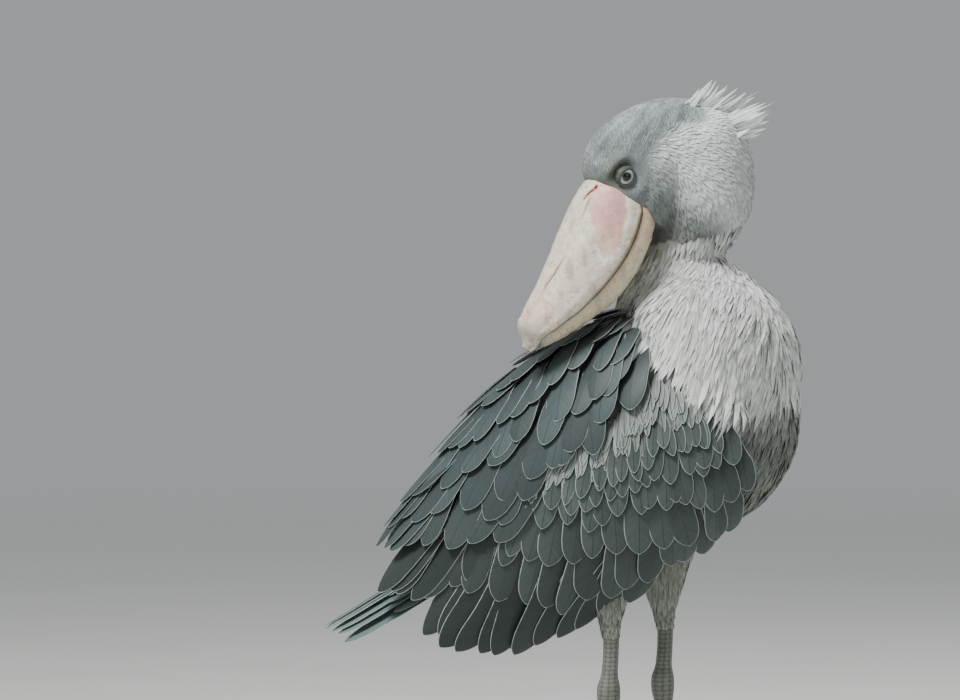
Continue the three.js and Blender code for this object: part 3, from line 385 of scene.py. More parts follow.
def outside(points):
    """About how far points lie outside the form of each region, in millimetres."""
    along, above, wide = to_body(points)
    z = points[:, 2]
    high, low, width = look(TORSO, "along", along, "above below side")
    height = (high + low) / 2
    reach = np.hypot((above - (high - low) / 2) / height, wide / width)
    torso = (reach - 1) * np.minimum(height, width) + np.maximum(0, along - 220) + np.maximum(0, -238 - along)
    ahead = np.maximum(0, along - RUFF["along"]) / RUFF["length"]
    raised = (above - RUFF["above"]) / RUFF["height"]
    reach = np.sqrt(ahead ** 2 + raised ** 2 + (wide / RUFF["width"]) ** 2)
    ruff = (reach - 1) * RUFF["width"] + np.maximum(0, RUFF["hem"] - along)
    x, y, across, ahead = look(NECK, "z", z, "x y across ahead")
    reach = np.hypot((points[:, 0] - x) / ahead, (points[:, 1] - y) / across)
    neck = (reach - 1) * 55 + np.maximum(0, 700 - z) + np.maximum(0, z - 968)
    forward, up, wide = to_head(points)
    top, under, width = look(HEAD, "forward", forward, "up down side")
    reach = np.hypot((up - (top + under) / 2) / ((top - under) / 2), wide / width)
    head = (reach - 1) * 50 + np.maximum(0, -156 - forward)
    thigh = np.minimum(outside_thigh(points, LEFT), outside_thigh(points, RIGHT))
    return np.stack([torso, ruff, neck, head, thigh], 1)


REGIONS = ("torso", "ruff", "neck", "head", "thigh")


def region_shares(points, softness=5.0):
    """How far each point belongs to each region, softly where two regions meet."""
    away = outside(points)
    ruffed = points[:, 2] < 792 + 0.26 * (points[:, 0] - 10)
    away[:, 1] = np.where(ruffed, np.minimum(away[:, 1], away[:, 2]), away[:, 1])
    away[:, 2] = np.where(ruffed, away[:, 2] + 30, away[:, 2])
    weight = np.exp(-(away - away.min(1, keepdims=True)) / softness)
    weight = weight / weight.sum(1, keepdims=True)
    forward, up, _ = to_head(points)
    both = weight[:, 2] + weight[:, 3]
    face = smooth(-1, 1, (up - read(SEAM, "forward", forward, "up")) / softness) * smooth(-156, -140, forward)
    face = np.where(ruffed, 0, face)
    weight[:, 2], weight[:, 3] = both * (1 - face), both * face
    return weight


# The lie of the coat: which way feathers point, before they are laid on the skin

def lie(points):
    shares = region_shares(points, 8.0)
    z = points[:, 2]
    torso = unit(-BODY_ALONG + np.array([0, 0, -0.7]))
    fall = np.array([-0.28, 0, -1.0])
    out = unit(points - np.array([96, 0, 700.0])) * np.array([1, 1, 0])
    ruff = unit(fall + 0.25 * out)
    high = smooth(835, 925, z)[:, None]
    top = smooth(915, 955, z)[:, None]
    hood = unit(mix(mix(np.array([0.45, 0, -1.0]), np.array([1.0, 0, -0.25]), high),
                    np.array([1.0, 0, 0.45]), top))
    face = np.broadcast_to(-BILL_FORWARD + 0.15 * HEAD_UP, points.shape)
    thigh = np.array([0.0, 0, -1.0])
    choices = [np.broadcast_to(v, points.shape) for v in (torso, ruff, hood, face, thigh)]
    return unit(sum(shares[:, i:i + 1] * choices[i] for i in range(5)))


# The skin: one closed surface over head, neck, body, wing roots and thighs

def sink_round_eye(points):
    """Hollows the skin round each eye and lets the brow stand over it."""
    moved = points.copy()
    for side in (LEFT, RIGHT):
        out = side * HEAD_LEFT
        offset = points - eye_centre(side)
        flat = offset - spread(offset @ out) * out
        away = np.linalg.norm(flat, axis=1)
        facing = (offset @ out > -6).astype(float)
        hollow = 6.5 * (1 - smooth(9, 23, away))
        forward, up = flat @ BILL_FORWARD, flat @ HEAD_UP
        brow = 4.5 * np.exp(-((up - 17 - 0.1 * forward) / 6) ** 2 - (forward / 24) ** 2)
        cheek = 2.0 * np.exp(-((up + 24) / 7) ** 2 - (forward / 22) ** 2)
        moved += spread(facing * (brow + cheek - hollow)) * out
    return moved


def build_skin():
    forms = [torso_form(8), ruff_form(9), neck_form(COAT_DEPTH), head_form(2.0)]
    for side in (LEFT, RIGHT):
        forms += [thigh_form(side, COAT_DEPTH + 2), wing_core(side, 3, -3)]
    rough = new_mesh("skin", *gather(forms))
    remesh = rough.modifiers.new("one_surface", "REMESH")
    remesh.mode = "VOXEL"
    remesh.voxel_size = SKIN_GRAIN
    soften = rough.modifiers.new("soften", "SMOOTH")
    soften.factor = 0.6
    soften.iterations = 8
    evaluated = rough.evaluated_get(bpy.context.evaluated_depsgraph_get())
    mesh = bpy.data.meshes.new_from_object(evaluated)
    rough.modifiers.clear()
    old = rough.data
    rough.data = mesh
    bpy.data.meshes.remove(old)
    mesh.polygons.foreach_set("use_smooth", np.full(len(mesh.polygons), True))
    moved = sink_round_eye(points_of(rough)) * MM + SHIFT
    mesh.vertices.foreach_set("co", moved.astype(np.float32).ravel())
    mesh.update()
    return rough


CELL_PRIMES = np.array([73856093, 19349663, 83492791])


class Ground:
    """The skin as something to lay feathers on: sampled by area, and searched for the nearest point."""

    def __init__(self, piece):
        mesh = piece.data
        mesh.calc_loop_triangles()
        corners = np.empty(len(mesh.loop_triangles) * 3, np.int32)
        mesh.loop_triangles.foreach_get("vertices", corners)
        self.points = points_of(piece)
        self.triangles = corners.reshape(-1, 3)
        a, b, c = (self.points[self.triangles[:, k]] for k in range(3))
        self.areas = np.linalg.norm(np.cross(b - a, c - a), axis=1) / 2
        self.middles = (a + b + c) / 3
        self.tree = BVHTree.FromPolygons(self.points.tolist(), self.triangles.tolist())

    def sample(self, share, gap, random):
        """Spread-out points, one for about each gap across, where share (0 to 1) allows."""
        weight = self.areas * share
        count = int(3 * weight.sum() / gap ** 2)
        chosen = random.choice(len(weight), count, p=weight / weight.sum())
        r1, r2 = np.sqrt(random.random(count)), random.random(count)
        a, b, c = (self.points[self.triangles[chosen, k]] for k in range(3))
        places = spread(1 - r1) * a + spread(r1 * (1 - r2)) * b + spread(r1 * r2) * c
        cells = np.floor(places / gap).astype(np.int64)
        keys = np.bitwise_xor.reduce(cells * CELL_PRIMES, axis=1)
        return places[np.unique(keys, return_index=True)[1]]

    def nearest(self, points):
        found = [self.tree.find_nearest(Vector(point)) for point in points]
        return np.array([hit[0] for hit in found]), np.array([hit[1] for hit in found])


# Small feathers, laid in rows of closed tapered tufts

ROOT_SINK = 1.5
TUFT_SHAPE = [(0, 0.55), (0.3, 1.0), (0.68, 0.8), (1.0, 0.0)]


def lay_tufts(ground, roots, length, lift, direction, shape):
    """Traces each tuft along the skin. Gives its rows: place, side and outward, each (rows, count, 3)."""
    place = ground.nearest(roots)[0]
    heading = direction(place)
    rows = []
    previous = 0
    for t, _ in shape:
        place = place + heading * spread(length * (t - previous))
        near, normal = ground.nearest(place)
        heading = direction(near)
        heading = unit(heading - spread(dot(heading, normal)) * normal)
        height = -ROOT_SINK * (1 - t) + lift * t ** 0.9
        across = np.cross(heading, normal)
        rows.append((near + spread(height) * normal, across, normal))
        place = near
        previous = t
    return rows


def tuft_mesh(name, rows, width, shape, thickness, roots_uv, random, tilt):
    """Builds closed tufts with a ridge, and gives the painter each point's row and side."""
    count = len(width)
    full = len(shape) - 1
    stacked = []
    across_of = []
    along_of = []
    lean = random.normal(0, tilt, count)
    for i, (t, wide) in enumerate(shape[:-1]):
        place, across, normal = rows[i]
        half = spread(width * wide / 2)
        turned = unit(across + spread(lean) * normal)
        ridge = place + normal * spread(thickness * (1.15 - t) + width * 0.06)
        stacked += [place - turned * half, ridge, place + turned * half]
        across_of += [0.0, 0.5, 1.0]
        along_of += [t] * 3
    stacked.append(rows[full][0])
    across_of.append(0.5)
    along_of.append(1.0)
    size = len(stacked)
    points = np.stack(stacked, 1).reshape(-1, 3)
    quads, triangles = [], [[0, 2, 1]]
    for i in range(full - 1):
        a = 3 * i
        quads += [[a, a + 1, a + 4, a + 3], [a + 1, a + 2, a + 5, a + 4], [a + 2, a, a + 3, a + 5]]
    a, tip = 3 * (full - 1), size - 1
    triangles += [[a, a + 1, tip], [a + 1, a + 2, tip], [a + 2, a, tip]]
    offset = (np.arange(count) * size)[:, None, None]
    piece = new_mesh(name, points, (np.array(quads) + offset).reshape(-1, 4),
                     (np.array(triangles) + offset).reshape(-1, 3), smooth_faces=False)
    across_of, along_of = np.array(across_of), np.array(along_of)
    patch = np.stack([across_of, along_of], 1) * 0.003 - 0.0015
    unwrap(piece, "OFBake", (np.clip(roots_uv, 0.002, 0.998)[:, None] + patch[None]).reshape(-1, 2))
    return piece, across_of, along_of


def paint_tufts(piece, colours, across_of, along_of, shaft, root, tip):
    """Each tuft is darker at its shaft and paler to its edges, and is darkened towards its root and lightened
    to its tip as painted shade and light of overlapping feathers.
    """
    edge = np.abs(across_of - 0.5) * 2
    # The root-to-tip factor is painted shade at the covered root and painted light at the tip; the shaft
    # factor is the shaft's own darker colour.
    shade = mix(shaft, 1.0, np.maximum(edge, along_of ** 2)) * mix(root, tip, smooth(0.0, 0.75, along_of))
    paint(piece, (colours[:, None] * shade[None, :, None]).reshape(-1, 3))


def body_uv(points):
    """The body unrolled round its own axis."""
    along, above, side = to_body(points)
    turn = np.arctan2(side, above) / (2 * math.pi) + 0.5
    return np.stack([turn, np.clip((along + 260) / 540, 0, 1)], 1)


def head_uv(points):
    """The head and hood unrolled round an upright axis through them."""
    offset = points - np.array([50, -30, 880.0])
    turn = np.arctan2(offset[:, 1], offset[:, 0]) / (2 * math.pi) + 0.5
    height = np.arctan2(offset[:, 2], np.hypot(offset[:, 0], offset[:, 1])) / math.pi + 0.5
    return np.stack([turn, height], 1)


# Markings, with painted shade under the hood and the ruff's hem and painted light on the crown, the same for
# the skin and the coat over it

GREY = {
    "torso": srgb("#6c706a"),
    "ruff": srgb("#c4c7c4"),
    "neck": srgb("#bcc1c1"),
    "head": srgb("#7b8284"),
    "thigh": srgb("#7f827b"),
}
HOOD_UNDERSIDE_SHADE = srgb("#585e5b")
PALE_CREST = srgb("#d3d8d8")
BROW_SHADOW = srgb("#5d6253")
CROWN_PALE_AND_TOPLIT = srgb("#8b9294")


def wave_noise(points, scale, seed):
    """Soft repeatable noise from a few crossed waves, about -1 to 1."""
    random = np.random.default_rng(seed)
    total = np.zeros(len(points))
    for _ in range(6):
        direction = unit(random.normal(size=3))
        total += np.sin(points @ direction / scale * random.uniform(0.7, 1.6) + random.uniform(0, 6.3))
    return total / 3


def markings_with_painted_shade_and_light(points):
    shares = region_shares(points)
    colours = sum(shares[:, i:i + 1] * GREY[name] for i, name in enumerate(REGIONS))
    _, up, side = to_head(points)
    z = points[:, 2]
    hood = shares[:, 2]
    # Painted shade under the hood's bulge: its lower part darkened, broken up by a cloud noise.
    low = 1 - smooth(880, 955, z + 0.9 * (points[:, 0] - 12))
    cloud = 0.5 + 0.5 * wave_noise(points, 16, 3)
    dark = np.clip(low * (0.75 + 0.4 * cloud), 0, 1) * hood
    colours = blend(colours, HOOD_UNDERSIDE_SHADE, dark * 0.85)
    pale = hood * smooth(915, 950, z) * smooth(60, 110, points[:, 0])
    colours = blend(colours, PALE_CREST, 0.8 * pale)
    face = shares[:, 3]
    # A paler crown: partly its own paler feathers, partly painted light on the top of the head.
    crown = face * smooth(-12, 12, up) * smooth(40, 0, np.abs(side))
    colours = blend(colours, CROWN_PALE_AND_TOPLIT, 0.7 * crown)
    for eye_side in (LEFT, RIGHT):
        offset = points - eye_centre(eye_side)
        reach = np.hypot((offset @ BILL_FORWARD - 6) / 24, (offset @ HEAD_UP - 8) / 15)
        near = (1 - smooth(0.6, 1.25, reach)) * (np.abs(side - eye_side * 45) < 30)
        colours = blend(colours, BROW_SHADOW, near * face * 0.75)
    above = to_body(points)[1]
    # Below the ruff's hem its colour turns to the torso's own grey, darkened by a quarter: painted shade under
    # the overhanging hem.
    below_hem = shares[:, 1] * smooth(636, 620, z)
    colours = blend(colours, GREY["torso"] * 0.75, 0.85 * below_hem)
    belly = shares[:, 0] * smooth(-60, -140, above)
    streak = 0.5 + 0.5 * wave_noise(points, 9, 5)
    colours = colours * spread(1 - 0.4 * shares[:, 0] * streak)
    colours = blend(colours, srgb("#6f736c"), 0.4 * belly * (1 - streak))
    return colours * spread(1 + 0.08 * wave_noise(points, 30, 8))


# Coats of small feathers

def under_wing(points, margin=8):
    """Where the folded wing hides the body, so that no small feathers are wanted there."""
    along, above, _ = to_body(points)
    high, low = look(MANTLE, "along", along, "above below")
    turn = np.arccos(np.clip((above - (high - low) / 2) / ((high + low) / 2), -1, 1))
    t = (WING_FRONT - along) / WING_LENGTH
    first, last = wing_edges(t)
    inside = (turn > (first + margin) * DEGREE) & (turn < (last - margin) * DEGREE)
    return (t > 0.03) & (t < 0.97) & inside


def head_coat(ground):
    """Short feathers of the face, longer and looser over the hood, and away from eyes and bill."""
    random = np.random.default_rng(11)
    shares = region_shares(ground.middles)
    wanted = shares[:, 2] + shares[:, 3]
    forward, up, side = to_head(ground.middles)
    inside_bill = (forward > -9) & (np.abs(side) < 44) & (up < 0)
    wanted = np.where(inside_bill, 0, wanted)
    roots = ground.sample(wanted, 2.25, random)
    near_eye = np.full(len(roots), 99.0)
    for eye_side in (LEFT, RIGHT):
        near_eye = np.minimum(near_eye, np.linalg.norm(roots - eye_centre(eye_side, 6), axis=1))
    keep = near_eye > 12
    roots, near_eye = roots[keep], near_eye[keep]
    hood = region_shares(roots)[:, 2]
    count = len(roots)
    forward, up, side = to_head(roots)
    loose = hood * random.uniform(0.8, 1.2, count)
    brow = smooth(34, 14, near_eye)
    crown = smooth(-30, 20, up) * smooth(-20, -90, forward)
    length = mix(mix(13.0, 20.0, crown), 17.0, loose) * mix(1.0, 0.45, brow)
    length = length * random.uniform(0.8, 1.2, count)
    width = mix(mix(2.5, 3.4, crown), 3.8, loose) * mix(1.0, 0.75, brow)
    lift = mix(0.9, 2.6, loose) * random.uniform(0.5, 1.3, count) * mix(1.0, 0.4, brow)

    def direction(points):
        wave = wave_noise(points, 14, 21)
        heading = lie(points)
        return unit(heading + 0.16 * spread(wave) * np.array([0.2, 0.5, 1.0]))

    rows = lay_tufts(ground, roots, length, lift, direction, TUFT_SHAPE)
    piece, across, along = tuft_mesh("coat_head", rows, width, TUFT_SHAPE, 0.25, head_uv(roots), random, 0.14)
    streak = wave_noise(np.stack([forward / 6, up, side], 1), 2.6, 23)
    streak = 1 + mix(0.3, 0.1, hood) * streak
    colours = markings_with_painted_shade_and_light(roots) * spread(streak * random.uniform(0.84, 1.16, count))
    paint_tufts(piece, colours, across, along, shaft=0.9, root=0.72, tip=1.1)
    return piece


HEM_LINE = 628
PLUME_SHAPE = [(0, 0.5), (0.22, 0.9), (0.48, 1.0), (0.75, 0.72), (1.0, 0.0)]


def ruff_coat(ground):
    """Long pale plumes that hang from the lobe of the neck, shaggier towards the hem."""
    random = np.random.default_rng(12)
    shares = region_shares(ground.middles)[:, 1]
    along = to_body(ground.middles)[0]
    below_hem = ground.middles[:, 2] <= HEM_LINE
    shares = np.where((along < RUFF["hem"] - 6) | below_hem | under_wing(ground.middles, 12), 0, shares)
    roots = ground.sample(shares, 4.7, random)
    count = len(roots)
    along = to_body(roots)[0]
    nape = smooth(700, 770, roots[:, 2])
    hem = smooth(215, 150, along)
    hang = hem * smooth(690, 640, roots[:, 2])
    length = mix(mix(44, 62, hem), 22, nape) * random.uniform(0.75, 1.2, count)
    width = mix(mix(7.0, 8.6, hem), 5.0, nape) * random.uniform(0.8, 1.2, count)
    lift = mix(mix(3.0, 13.0, hang), 1.4, nape) * random.uniform(0.2, 1.3, count)

    def direction(points):
        heading = lie(points)
        wave = wave_noise(points, 20, 31)
        return unit(heading + 0.3 * spread(wave) * np.array([0.6, 0.6, 0.2]))

    rows = lay_plumes(ground, roots, length, lift, direction)
    piece, across, lengthwise = tuft_mesh(
        "coat_ruff", rows, width, PLUME_SHAPE, 0.3, body_uv(roots), random, 0.5)
    colours = markings_with_painted_shade_and_light(roots) * spread(random.uniform(0.8, 1.18, count))
    paint_tufts(piece, colours, across, lengthwise, shaft=0.88, root=0.66, tip=1.12)
    return piece


def lay_plumes(ground, roots, length, lift, direction):
    """Plumes follow the skin, but hang free past the lobe's hem, clear of the wing below."""
    place = ground.nearest(roots)[0]
    heading = direction(place)
    rows = []
    previous = 0
    for t, _ in PLUME_SHAPE:
        step = spread(length * (t - previous))
        near, normal = ground.nearest(place + heading * step)
        clearance = dot(place + heading * step - near, normal)
        heading = direction(near)
        heading = unit(heading - spread(np.minimum(0, dot(heading, normal))) * normal)
        hang = np.maximum(0, clearance) * 0.75
        place = near + spread(hang) * normal
        height = -ROOT_SINK * (1 - t) + lift * t
        rows.append((place + spread(height) * normal, unit(np.cross(heading, normal)), normal))
        previous = t
    return rows


def body_coat(ground):
    """Breast, belly, back below the wings, and thighs."""
    random = np.random.default_rng(13)
    middles = ground.middles
    shares = region_shares(middles)
    wanted = shares[:, 0] + shares[:, 4] + shares[:, 1] * (middles[:, 2] < HEM_LINE + 4)
    wanted = np.where(under_wing(middles), 0, wanted)
    wanted = np.where(middles[:, 2] < FEATHER_LINE + 2, 0, wanted)
    roots = ground.sample(wanted, 4.6, random)
    count = len(roots)
    leg = region_shares(roots)[:, 4]
    length = mix(34, mix(12, 24, smooth(330, 400, roots[:, 2])), leg) * random.uniform(0.75, 1.2, count)
    width = mix(6.5, 4.4, leg) * random.uniform(0.8, 1.2, count)
    lift = mix(4.5, 2.0, leg) * random.uniform(0.3, 1.2, count)
    rows = lay_tufts(ground, roots, length, lift, lie, PLUME_SHAPE)
    piece, across, along = tuft_mesh("coat_body", rows, width, PLUME_SHAPE, 0.3, body_uv(roots), random, 0.4)
    colours = markings_with_painted_shade_and_light(roots) * spread(random.uniform(0.78, 1.2, count))
    paint_tufts(piece, colours, across, along, shaft=0.78, root=0.55, tip=1.15)
    return piece


CREST_SHAPE = [(0, 0.9), (0.25, 1.0), (0.5, 0.85), (0.72, 0.6), (0.88, 0.34), (1.0, 0.0)]
CREST = table("order x z tip_x tip_z", [
    [0, 52, 962, 78, 979], [0.2, 68, 962, 98, 996], [0.4, 84, 959, 124, 988],
    [0.6, 97, 952, 156, 978], [0.8, 110, 941, 170, 959], [1, 120, 926, 150, 930]])
CREST_SIDE = -14


def crest():
    """The loose tuft at the back of the crown: pointed locks swept up and backwards."""
    random = np.random.default_rng(14)
    count = 74
    order = np.sort(random.random(count))
    lane = random.uniform(-0.5, 0.5, count)
    x, z, tip_x, tip_z = look(CREST, "order", order, "x z tip_x tip_z")
    roots = np.stack([x, CREST_SIDE + 38 * lane, z - 5], 1)
    tips = np.stack([tip_x, CREST_SIDE + 62 * lane, tip_z], 1)
    reach = mix(0.5, 1.04, random.random(count) ** 1.3)
    aim = (tips - roots) * spread(reach) + random.normal(0, 2.0, (count, 3))
    aim[:, 0] += 3
    above = unit(np.stack([-aim[:, 2], 0 * lane, aim[:, 0]], 1))
    turned = np.where(random.random(count) < 0.5, -1.0, 1.0)
    facing = unit(np.stack([0 * lane, turned, 0 * lane], 1) + 0.5 * above)
    bend = random.uniform(-7, 1, count)
    rows = []
    for at_share, _ in CREST_SHAPE:
        place = roots + aim * (at_share * 1.2 - 0.2) + above * spread(bend * at_share * (1 - at_share) * 2)
        rows.append((place, unit(np.cross(aim, facing)), facing))
    width = random.uniform(4.5, 8.0, count)
    piece, across, along = tuft_mesh("crest", rows, width, CREST_SHAPE, 0.3, head_uv(roots), random, 0.3)
    colours = PALE_CREST * spread(random.uniform(0.78, 1.1, count))
    paint_tufts(piece, colours, across, along, shaft=0.86, root=0.7, tip=1.1)
    return piece


# Vanes: the feathers of wings, back and tail

VANE_ROWS = np.concatenate([np.linspace(0, 0.7, 9), 0.7 + 0.3 * np.sin(np.linspace(0.12, 0.5, 8) * math.pi)])
VANE_COLUMNS = np.array([-1, -0.88, -0.55, -0.06, 0.06, 0.55, 0.88, 1])


def vane_outline(t, tip):
    """Half the width along a vane, as a share: narrow root, full middle, round or pointed tip."""
    root = mix(0.42, 1.0, smooth(0, 0.42, t))
    end = np.clip((t - (1 - tip)) / tip, 0, 1)
    return root * np.maximum(0.03, 1 - end ** 2.3) ** 0.62


def vane(path, out, width, tip, cup, tilt, thickness=0.45):
    """One closed vane over a centre line, with a shaft, cupped across, thin at its edges."""
    forward = unit(np.gradient(path, axis=0))
    across = unit(np.cross(forward, out))
    up = unit(np.cross(across, forward))
    half = spread(width / 2 * vane_outline(VANE_ROWS, tip))[..., None]
    column = VANE_COLUMNS[None, :, None]
    side = path[:, None] + across[:, None] * column * half
    bend = (column * tilt - cup * column ** 2) * half
    shaft = np.exp(-(column / 0.12) ** 2) * 0.35 * (1.1 - VANE_ROWS[:, None, None])
    top = side + up[:, None] * (bend + shaft + thickness / 2 * (1.02 - np.abs(column)))
    low = side + up[:, None] * (bend - thickness / 2 * (1.02 - np.abs(column)))
    return top, low, half[..., 0]


def vane_mesh(name, feathers, side):
    """Joins vanes into one piece, with each one's colour, painted shade towards its root, distance to its edge
    and own patch.
    """
    rows, columns = len(VANE_ROWS), len(VANE_COLUMNS)
    grid = np.arange(rows * columns).reshape(rows, columns)
    a, b, c, d = grid[:-1, :-1], grid[:-1, 1:], grid[1:, 1:], grid[1:, :-1]
    top = np.stack([a, b, c, d], -1).reshape(-1, 4)
    low = np.stack([d, c, b, a], -1).reshape(-1, 4) + rows * columns
    rim = np.concatenate([grid[0], grid[1:, -1], grid[-1, -2::-1], grid[-2:0:-1, 0]])
    after = np.roll(rim, -1)
    wall = np.stack([after, rim, rim + rows * columns, after + rows * columns], 1)
    faces = np.concatenate([top, low, wall])
    points, tints, edges, flat, patches = [], [], [], [], []
    cells = math.ceil(math.sqrt(len(feathers)))
    for i, feather in enumerate(feathers):
        upper, lower, half = vane(*feather["form"])
        points += [upper.reshape(-1, 3), lower.reshape(-1, 3)]
        length = np.linalg.norm(np.diff(feather["form"][0], axis=0), axis=1).sum()
        to_side = half * (1 - np.abs(VANE_COLUMNS))[None]
        to_tip = (1 - VANE_ROWS)[:, None] * length
        edge = np.minimum(to_side, to_tip)
        edges += [edge.ravel(), edge.ravel()]
        full = np.ones_like(to_side)
        lengthwise = np.stack([VANE_COLUMNS * half, VANE_ROWS[:, None] * length * full], -1).reshape(-1, 2)
        flat += [lengthwise, lengthwise]
        # Painted shade: each vane darker towards its root, where the feathers over it cover it.
        shade = mix(0.6, 1.08, smooth(0.1, 0.9, VANE_ROWS))[:, None, None] + 0 * to_side[..., None]
        tint = (feather["tint"] * shade).reshape(-1, 3)
        tints += [tint, tint * 0.8]
        corner = np.array([i % cells, i // cells]) / cells
        cell = np.stack([(VANE_COLUMNS + 1) / 2 * full, VANE_ROWS[:, None] * full], -1).reshape(-1, 2)
        patch = corner + (0.04 + 0.44 * cell * np.array([1, 2.0])) / cells
        patches += [patch, patch + np.array([0.47 / cells, 0])]
    count = len(feathers)
    offset = (np.arange(count) * 2 * rows * columns)[:, None, None]
    quads = (faces[None] + offset).reshape(-1, 4)
    if side == RIGHT:
        quads = quads[:, ::-1]
    piece = new_mesh(name, np.concatenate(points), quads)
    paint(piece, np.concatenate(tints))
    measure(piece, "Rim", np.concatenate(edges))
    unwrap(piece, "Vane", np.concatenate(flat))
    unwrap(piece, "OFBake", np.concatenate(patches))
    piece.data.uv_layers.active = piece.data.uv_layers["OFBake"]
    return piece


SLATE = srgb("#3a4546")
COVERT = srgb("#414b49")
SOFT_BAND = srgb("#7c827e")
FLIGHT = srgb("#29312f")
REAR = srgb("#3c4747")

# Tiers of the wing from the flight feathers up to the shoulder: count, shortest, longest, width,
# height of the root, rise to the tip, colour, share that is rounded off, and the line of the tips as
# stops of (along the body, turn round it in degrees, lean of the feather towards the belly).
TIERS = [
    (12, 150, 215, 38, 2.0, 4, FLIGHT, 0.3,
     [(-100, 164, 44), (-188, 156, 36), (-262, 146, 30), (-300, 124, 24), (-318, 100, 18)]),
    (7, 150, 200, 36, 2.5, 5, FLIGHT, 0.3,
     [(-234, 92, 20), (-290, 84, 16), (-318, 70, 12), (-330, 54, 8)]),
    (12, 92, 130, 34, 3.0, 6, COVERT * 0.72, 0.3,
     [(10, 164, 56), (-35, 152, 52), (-98, 147, 46), (-154, 138, 38), (-190, 122, 32), (-234, 96, 26)]),
    (13, 78, 105, 32, 4.0, 7, COVERT * 0.84, 0.34,
     [(60, 160, 60), (22, 156, 58), (-40, 130, 50), (-96, 120, 44), (-149, 104, 34), (-186, 92, 26)]),
    (14, 62, 84, 28, 5.0, 7, COVERT * 0.92, 0.4,
     [(109, 144, 66), (53, 136, 60), (27, 121, 56), (-12, 118, 50), (-60, 110, 44), (-115, 97, 34)]),
    (15, 50, 62, 23, 6.0, 7.5, COVERT, 0.45,
     [(122, 126, 66), (84, 116, 60), (35, 110, 54), (0, 107, 50), (-45, 102, 44), (-92, 94, 34)]),
    (18, 40, 50, 18, 7.0, 8, COVERT * 1.25, 0.5,
     [(126, 112, 66), (95, 105, 60), (58, 101, 54), (18, 100, 48), (-22, 98, 42), (-70, 92, 34)]),
    (30, 34, 44, 13, 6.0, 6.5, SOFT_BAND * 0.8, 0.6,
     [(118, 98, 62), (96, 94, 58), (62, 95, 52), (20, 95, 46), (-25, 93, 38), (-90, 88, 28),
      (-130, 84, 20)]),
    (34, 32, 42, 12, 6.3, 6.2, SOFT_BAND, 0.6,
     [(112, 90, 60), (94, 86, 56), (62, 89, 50), (20, 91, 44), (-25, 89, 36), (-90, 84, 26),
      (-140, 80, 18)]),
    (34, 32, 42, 12, 6.6, 6.0, SOFT_BAND * 0.9, 0.6,
     [(100, 80, 56), (60, 83, 50), (20, 87, 42), (-25, 86, 34), (-90, 80, 24), (-150, 76, 16)]),
    (9, 125, 150, 38, 8.5, 7, REAR * 0.85, 0.3,
     [(-150, 84, 20), (-195, 76, 16), (-240, 58, 10), (-285, 40, 6), (-300, 24, 2)]),
    (16, 92, 132, 42, 9.5, 8.5, SLATE, 0.36,
     [(51, 78, 56), (-5, 80, 48), (-43, 83, 40), (-73, 77, 32), (-125, 77, 24), (-169, 69, 16),
      (-222, 52, 9), (-262, 34, 5), (-280, 18, 2)]),
    (14, 80, 118, 40, 10.5, 9, SLATE * 1.05, 0.36,
     [(66, 66, 56), (30, 66, 50), (-15, 66, 42), (-60, 63, 34), (-112, 60, 24), (-160, 50, 15),
      (-212, 36, 8), (-240, 16, 2)]),
    (12, 70, 100, 38, 11.5, 9.5, SLATE, 0.38,
     [(82, 54, 54), (40, 50, 48), (-20, 49, 40), (-70, 46, 28), (-120, 42, 18), (-165, 30, 9),
      (-185, 12, 2)]),
    (10, 60, 88, 36, 12.0, 10, SLATE * 0.92, 0.4,
     [(98, 40, 50), (60, 34, 42), (10, 33, 32), (-45, 30, 22), (-100, 24, 12), (-130, 10, 2)]),
    (8, 52, 74, 34, 12.5, 10, SLATE * 0.85, 0.42,
     [(112, 26, 40), (70, 20, 28), (20, 16, 16), (-40, 12, 8)]),
]
GIRTH = 125


def along_line(stops, t):
    """Reads a line of stops at even shares of its length."""
    stops = np.array(stops, float)
    at = np.linspace(0, 1, len(stops))
    return [np.interp(t, at, stops[:, k]) for k in range(3)]


def wing(side):
    random = np.random.default_rng(7 if side == RIGHT else 8)
    lowest = 176 if side == RIGHT else 146
    feathers = []
    for count, shortest, longest, wide, base, rise, tint, tip, tips in TIERS:
        for i in range(count):
            t = i / (count - 1)
            along, turn, lean = along_line(tips, t)
            along -= 0.22 * max(0, along - 60)
            along += random.normal(0, 4.5)
            turn = (min(turn, lowest) + random.normal(0, 2)) * DEGREE
            lean = (lean + random.normal(0, 5)) * DEGREE
            length = mix(shortest, longest, t) * random.uniform(0.88, 1.1)
            left = length * (1 - VANE_ROWS)
            steps = along + left * math.cos(lean)
            turns = np.clip(turn - left * math.sin(lean) / GIRTH, 0.03, 3.0)
            height = base + random.uniform(-0.5, 0.5) + rise * VANE_ROWS ** 0.9
            path = section_point(MANTLE, steps, turns, side, height, WING_DROOP)
            out = unit(section_point(MANTLE, steps, turns, side, height + 10, WING_DROOP) - path)
            width = wide * random.uniform(0.84, 1.12)
            form = (path, out, width, tip, 0.12, side * random.normal(0.10, 0.04))
            feathers.append({"form": form, "tint": tint * random.uniform(0.74, 1.24)})
    name = "feathers_right" if side == RIGHT else "feathers_left"
    return vane_mesh(name, feathers, side)


TAIL_ROOT = {"along": -205, "above": 22}
TAIL_LENGTH = 222


